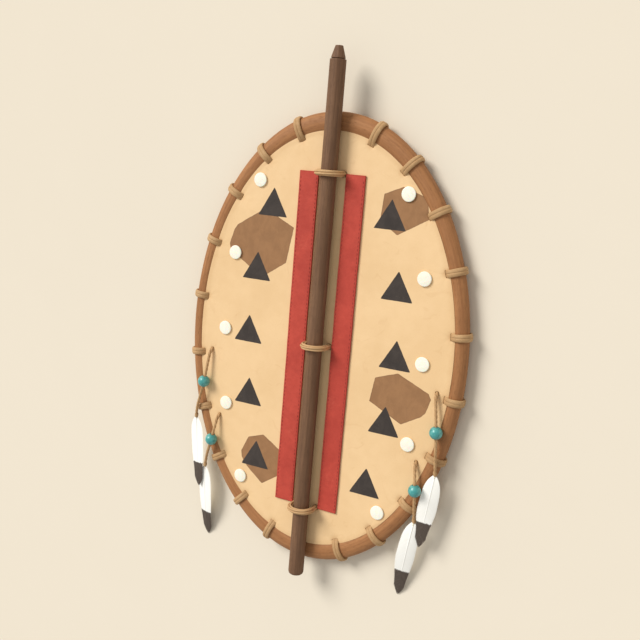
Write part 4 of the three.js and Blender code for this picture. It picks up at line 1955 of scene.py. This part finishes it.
@dataclass
class Feather:
    """Feather of a shaft, a vane of parted barbs and wisps of down."""

    route: Route
    quill: Array
    tip: Array
    seed: int
    gap: float = 1.0
    half_width: float = 19.8
    roll: float = math.radians(15)
    barbs: int = 124
    wisps: int = 22
    groups: int = 6

    @property
    def length(self) -> float:
        """From the quill's end to the tip."""
        return float(np.linalg.norm(self.tip - self.quill))

    def shaft(self, reach: Array) -> tuple[Array, ...]:
        """The feather's shaft.

        Args:
            reach: Shares of the way from quill to tip.

        Returns:
            Its points, and the directions along, out across the vane and up.
        """
        start = self.quill + unit(self.tip - self.quill) * self.gap
        control = (start + self.tip) / 2 + [0, 0, 2 * self.route.arch]
        t = np.asarray(reach, float)[:, None]
        points = bowed(start, control, self.tip, t)
        along = unit((control - start) * (1 - t) + (self.tip - control) * t)
        outward = self.route.side.value
        level = unit(np.stack([-along[:, 1], along[:, 0], 0 * t[:, 0]], 1)) * outward
        tilt = -outward * self.roll * np.sin(math.pi * t)
        across = level * np.cos(tilt) + np.cross(along, level) * np.sin(tilt)
        return points, along, across, np.cross(along, across) * outward

    def vane_width(self, reach: float) -> float:
        """Half the vane's width, which swells, narrows slowly and ends in a point.

        Args:
            reach: Where along the shaft the barb there ends.

        Returns:
            The width.
        """
        rise = 1 - np.exp(-((np.maximum(reach, 0) + 0.022) / 0.11) ** 1.1)
        narrowed = 1 - 0.43 * smooth(reach, 0.46, 0.90)
        pointed = np.clip((1.004 - reach) / 0.118, 0, 1) ** 0.75
        return self.half_width * float(rise * narrowed * np.maximum(pointed, 0.04))

    def rib_radius(self, reach: Array) -> Array:
        """Half the shaft's thickness at each reach."""
        return 1.65 * (1 - 0.85 * np.clip(reach, 0, 1) ** 0.8) + 0.1

    def rib(self, start: float, end: float, count: int) -> Draft:
        """A piece of the shaft, flattened a little on top.

        Args:
            start: Reach at which it starts.
            end: Reach at which it ends.
            count: How many rings it has.

        Returns:
            The rod.
        """
        sides = 12
        reach = np.linspace(start, end, count)
        points, _, across, up = self.shaft(reach)
        ring = round_section(self.rib_radius(reach), sides, flat=0.85, power=2.3)
        draft = framed(points, across, up, ring, reach * 160)
        return draft.noted(reach=np.repeat(reach, sides), tone=0.35)

    def barb(self, side: int, base: float, end: float, swing: float, rng: random.Random) -> Draft:
        """One barb of the vane.

        Args:
            side: 1 on the vane away from the shield, -1 on the other.
            base: Reach at which it leaves the shaft.
            end: Reach at which it meets the vane's edge.
            swing: How far its end is pushed towards the tip, in millimetres.
            rng: Source of its small differences.

        Returns:
            The barb as a thin pointed strip.
        """
        length = self.length
        width = self.vane_width(end) * rng.uniform(0.97, 1.0)
        root = float(self.rib_radius(np.array([base]))[0]) * 0.5
        first = np.array([root, base * length])
        last = np.array([width, end * length + swing * width / self.half_width])
        u = np.linspace(0, 1, 8)[:, None]
        # It leaves the shaft steeply and turns towards the tip.
        path = bowed(first, first + (last - first) * [0.52, 0.30], last, u)
        way = unit(np.gradient(path, axis=0))
        half = 1.0 * (1 - 0.72 * u ** 3)
        ring = np.array([[-1.0, 0.05], [0.0, 0.2], [1.0, -0.1], [0.0, -0.16]])
        spread = np.stack([way[:, 1], -way[:, 0]], 1)
        flat = path[:, None] + spread[:, None] * (ring[None, :, :1] * half[:, None])
        share = flat[..., 0] / self.half_width
        reach = np.clip(flat[..., 1] / length, 0, 1.0).ravel()
        points, _, across, up = self.shaft(reach)
        droop = 0.3 * root - 1.5 * share ** 2 + rng.uniform(-0.05, 0.05) + ring[None, :, 1]
        grid = points + across * (side * flat[..., 0]).reshape(-1, 1) + up * droop.reshape(-1, 1)
        lay = (ring[None, :, 0] + base * 40, u * width, ring[None, :, 1])
        lay = np.stack([np.broadcast_to(part, share.shape) for part in lay], 2)
        return skin(grid.reshape(*share.shape, 3), lay).noted(reach=reach, tone=rng.random())

    def wisp(self, rng: random.Random) -> Draft:
        """One loose wisp of down at the foot of the vane.

        Args:
            rng: Source of its way.

        Returns:
            The wisp.
        """
        base = rng.uniform(0.03, 0.10)
        points, along, across, up = (row[0] for row in self.shaft(np.array([base])))
        side, length = rng.choice((-1, 1)), rng.uniform(7.0, 13.0)
        lean, lift = rng.uniform(0.3, 0.8), rng.uniform(-0.3, 0.08)
        u = np.linspace(0, 1, 9)[:, None]
        wave = np.sin(u * rng.uniform(3, 7) + rng.uniform(0, 6)) * 0.7 * u
        line = (
            points
            + across * side * (length * 0.75 * u - 2.0 * u ** 2)
            + along * (length * lean * u ** 1.4 + wave)
            + up * (length * lift * u * (1 - 0.6 * u) + wave * 0.5)
        )
        draft = sweep(line, round_section(0.22 * (1 - 0.6 * u[:, 0]), 5))
        return draft.noted(reach=base, tone=rng.random())

    def vane(self) -> Draft:
        """Shaft, barbs in a few groups that have parted, and wisps of down.

        Returns:
            The vane.
        """
        rng = random.Random(self.seed)
        parts = [self.rib(0.02, 0.975, 70)]
        for side in (-1, 1):
            splits = [rng.uniform(0.14, 0.93) for _ in range(self.groups - 1)]
            swings = [rng.uniform(-0.2, 1.5) for _ in range(self.groups)]
            for end in np.linspace(0.012, 1.0, self.barbs):
                group = sum(end > split for split in splits)
                back = self.vane_width(end) * 1.25 / self.length
                base = max(end - back, 0.004 + 0.25 * (end - 0.012))
                parts.append(self.barb(side, base, end, swings[group] - 0.6, rng))
        return Draft.joined(parts + [self.wisp(rng) for _ in range(self.wisps)])


@dataclass
class Pendant:
    """A thong with a knot, a bead and a feather on it."""

    route: Route
    origin: Array
    back: float

    def build(self) -> None:
        """The pendant's pieces: thong, knot, bead, quill and vane."""
        route, name = self.route, self.route.name
        seed = 200 + 10 * ROUTES.index(route)
        thong = Thong(route, self.origin, self.back, seed)
        feather = Feather(route, thong.shifted(*route.quill), thong.shifted(*route.tip), seed)
        stops, through = thong.stops()
        line = evenly(curve_through(stops, 40), 1.1)
        cord = make_piece(f"twisted_thong_{name}", thong.twisted(line), [TWIST], f"thong_{name}")
        knot = make_piece(f"thong_knot_{name}", thong.knot(), [TWIST])
        drop = thong.bead(through)
        bead = make_piece(f"stone_bead_{name}", drop, [STONE], f"bead_{name}", crease=70)
        points, along, _, _ = feather.shaft(np.array([0.0]))
        root = Draft.joined([feather.rib(0.0, 0.04, 8).noted(0), thong.whipping(points[0], along[0])])
        node = f"feather_{name}"
        quill = make_piece(f"feather_quill_{name}", root, [QUILL_HORN, SINEW], node)
        make_piece(f"feather_vane_{name}", feather.vane(), [PLUME], node, crease=60)


# ---- Studio ---------------------------------------------------------------------------------


@dataclass
class Studio:
    """Floor, soft light from over the upper left, and the camera."""

    camera_at: Spot = (0.77377, 0.33118, 1.61714)
    looks_at: Spot = (-0.00208, 0.00568, 0.03570)
    camera_up: Spot = (-0.15474, 0.97992, -0.12578)
    lens: float = 48.46
    sensor: float = 36.0
    light_from: Spot = (-0.52, 0.55, 0.656)
    light_strength: float = 2.78
    light_spread: float = math.radians(27)
    light_colour: Spot = (1.0, 0.985, 0.96)
    sky: float = 0.56
    wall: Colour = srgb(243, 232, 211)
    floor_half: float = 14.0
    floor_below: float = 0.0004

    @staticmethod
    def placed(
        name: str, data: bpy.types.ID, at: Sequence[float], target: Sequence[float], up: Sequence[float]
    ) -> bpy.types.Object:
        """Stands the camera or a light somewhere.

        Args:
            name: What it is called.
            data: The camera or light.
            at: Where it stands.
            target: What its own -Z looks at.
            up: The way that its own Y leans.

        Returns:
            The object.
        """
        back = (Vector(at) - Vector(target)).normalized()
        right = Vector(up).cross(back).normalized()
        turn = Matrix((right, back.cross(right), back)).transposed().to_4x4()
        made = bpy.data.objects.new(name, data)
        made.matrix_world = Matrix.Translation(at) @ turn
        bpy.context.scene.collection.objects.link(made)
        return made

    def build(self) -> None:
        """Camera, lights, world and floor."""
        scene = bpy.context.scene
        camera = bpy.data.cameras.new("camera")
        camera.lens, camera.sensor_width = self.lens, self.sensor
        scene.camera = self.placed("camera", camera, self.camera_at, self.looks_at, self.camera_up)
        light = bpy.data.lights.new("soft_light", "SUN")
        light.energy, light.angle = self.light_strength, self.light_spread
        light.color = self.light_colour
        self.placed("soft_light", light, Vector(self.light_from) * 3, (0, 0, 0), UP)
        world = bpy.data.worlds.new("even_sky")
        world.use_nodes = True
        w = Wiring(world.node_tree)
        glow = w.node("Background", {"Color": (*self.light_colour, 1.0), "Strength": self.sky})
        wall = w.node("Background", {"Color": self.wall, "Strength": 1.0})
        seen = w.node("LightPath").outputs["Is Camera Ray"]
        both = w.node("MixShader", {0: seen, 1: glow.outputs[0], 2: wall.outputs[0]})
        w.node("OutputWorld", {"Surface": both.outputs[0]})
        scene.world = world
        scene.view_settings.view_transform = "Standard"
        self.floor()

    def floor(self) -> None:
        """Pale floor just under the shield."""
        mesh = bpy.data.meshes.new("floor")
        corners = [
            (x * self.floor_half, y * self.floor_half, -self.floor_below)
            for x, y in ((-1, -1), (1, -1), (1, 1), (-1, 1))
        ]
        mesh.from_pydata(corners, [], [(0, 1, 2, 3)])
        mesh.materials.append(FLOOR.material())
        made = bpy.data.objects.new("floor", mesh)
        bpy.context.scene.collection.objects.link(made)


# ---- The whole shield -------------------------------------------------------------------------


def main() -> None:
    """Builds the studio and every piece, and logs each part as it is built."""
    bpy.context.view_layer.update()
    logging.basicConfig(level=logging.INFO, format="%(message)s")
    Studio().build()
    hoop = Hoop.from_frame()
    low, high = box_of("hide_face")
    back, face = float(low[2]), float(high[2])
    for route in ROUTES:
        Pendant(route, hoop.centre, back).build()
    staff = Staff.from_frame()
    ties = Ties(staff, back)
    lacings = Lacings(hoop, (back + face) / 2)
    tie_holes = [(side * ties.leg, y) for y in ties.places().values() for side in (-1, 1)]
    middle, lean = hoop.centre[:2], np.array([0.0, 0.6])
    thong_holes = [tuple(middle + route.hole - lean) for route in ROUTES]
    hide = Hide(hoop, lacings, tie_holes, thong_holes, back, face)
    for part in (hoop, hide, lacings, staff, ties, Bands(hide), Discs(hide), HandStrap()):
        LOG.info("building the %s", type(part).__name__.lower())
        part.build()


if __name__ == "__main__":
    main()
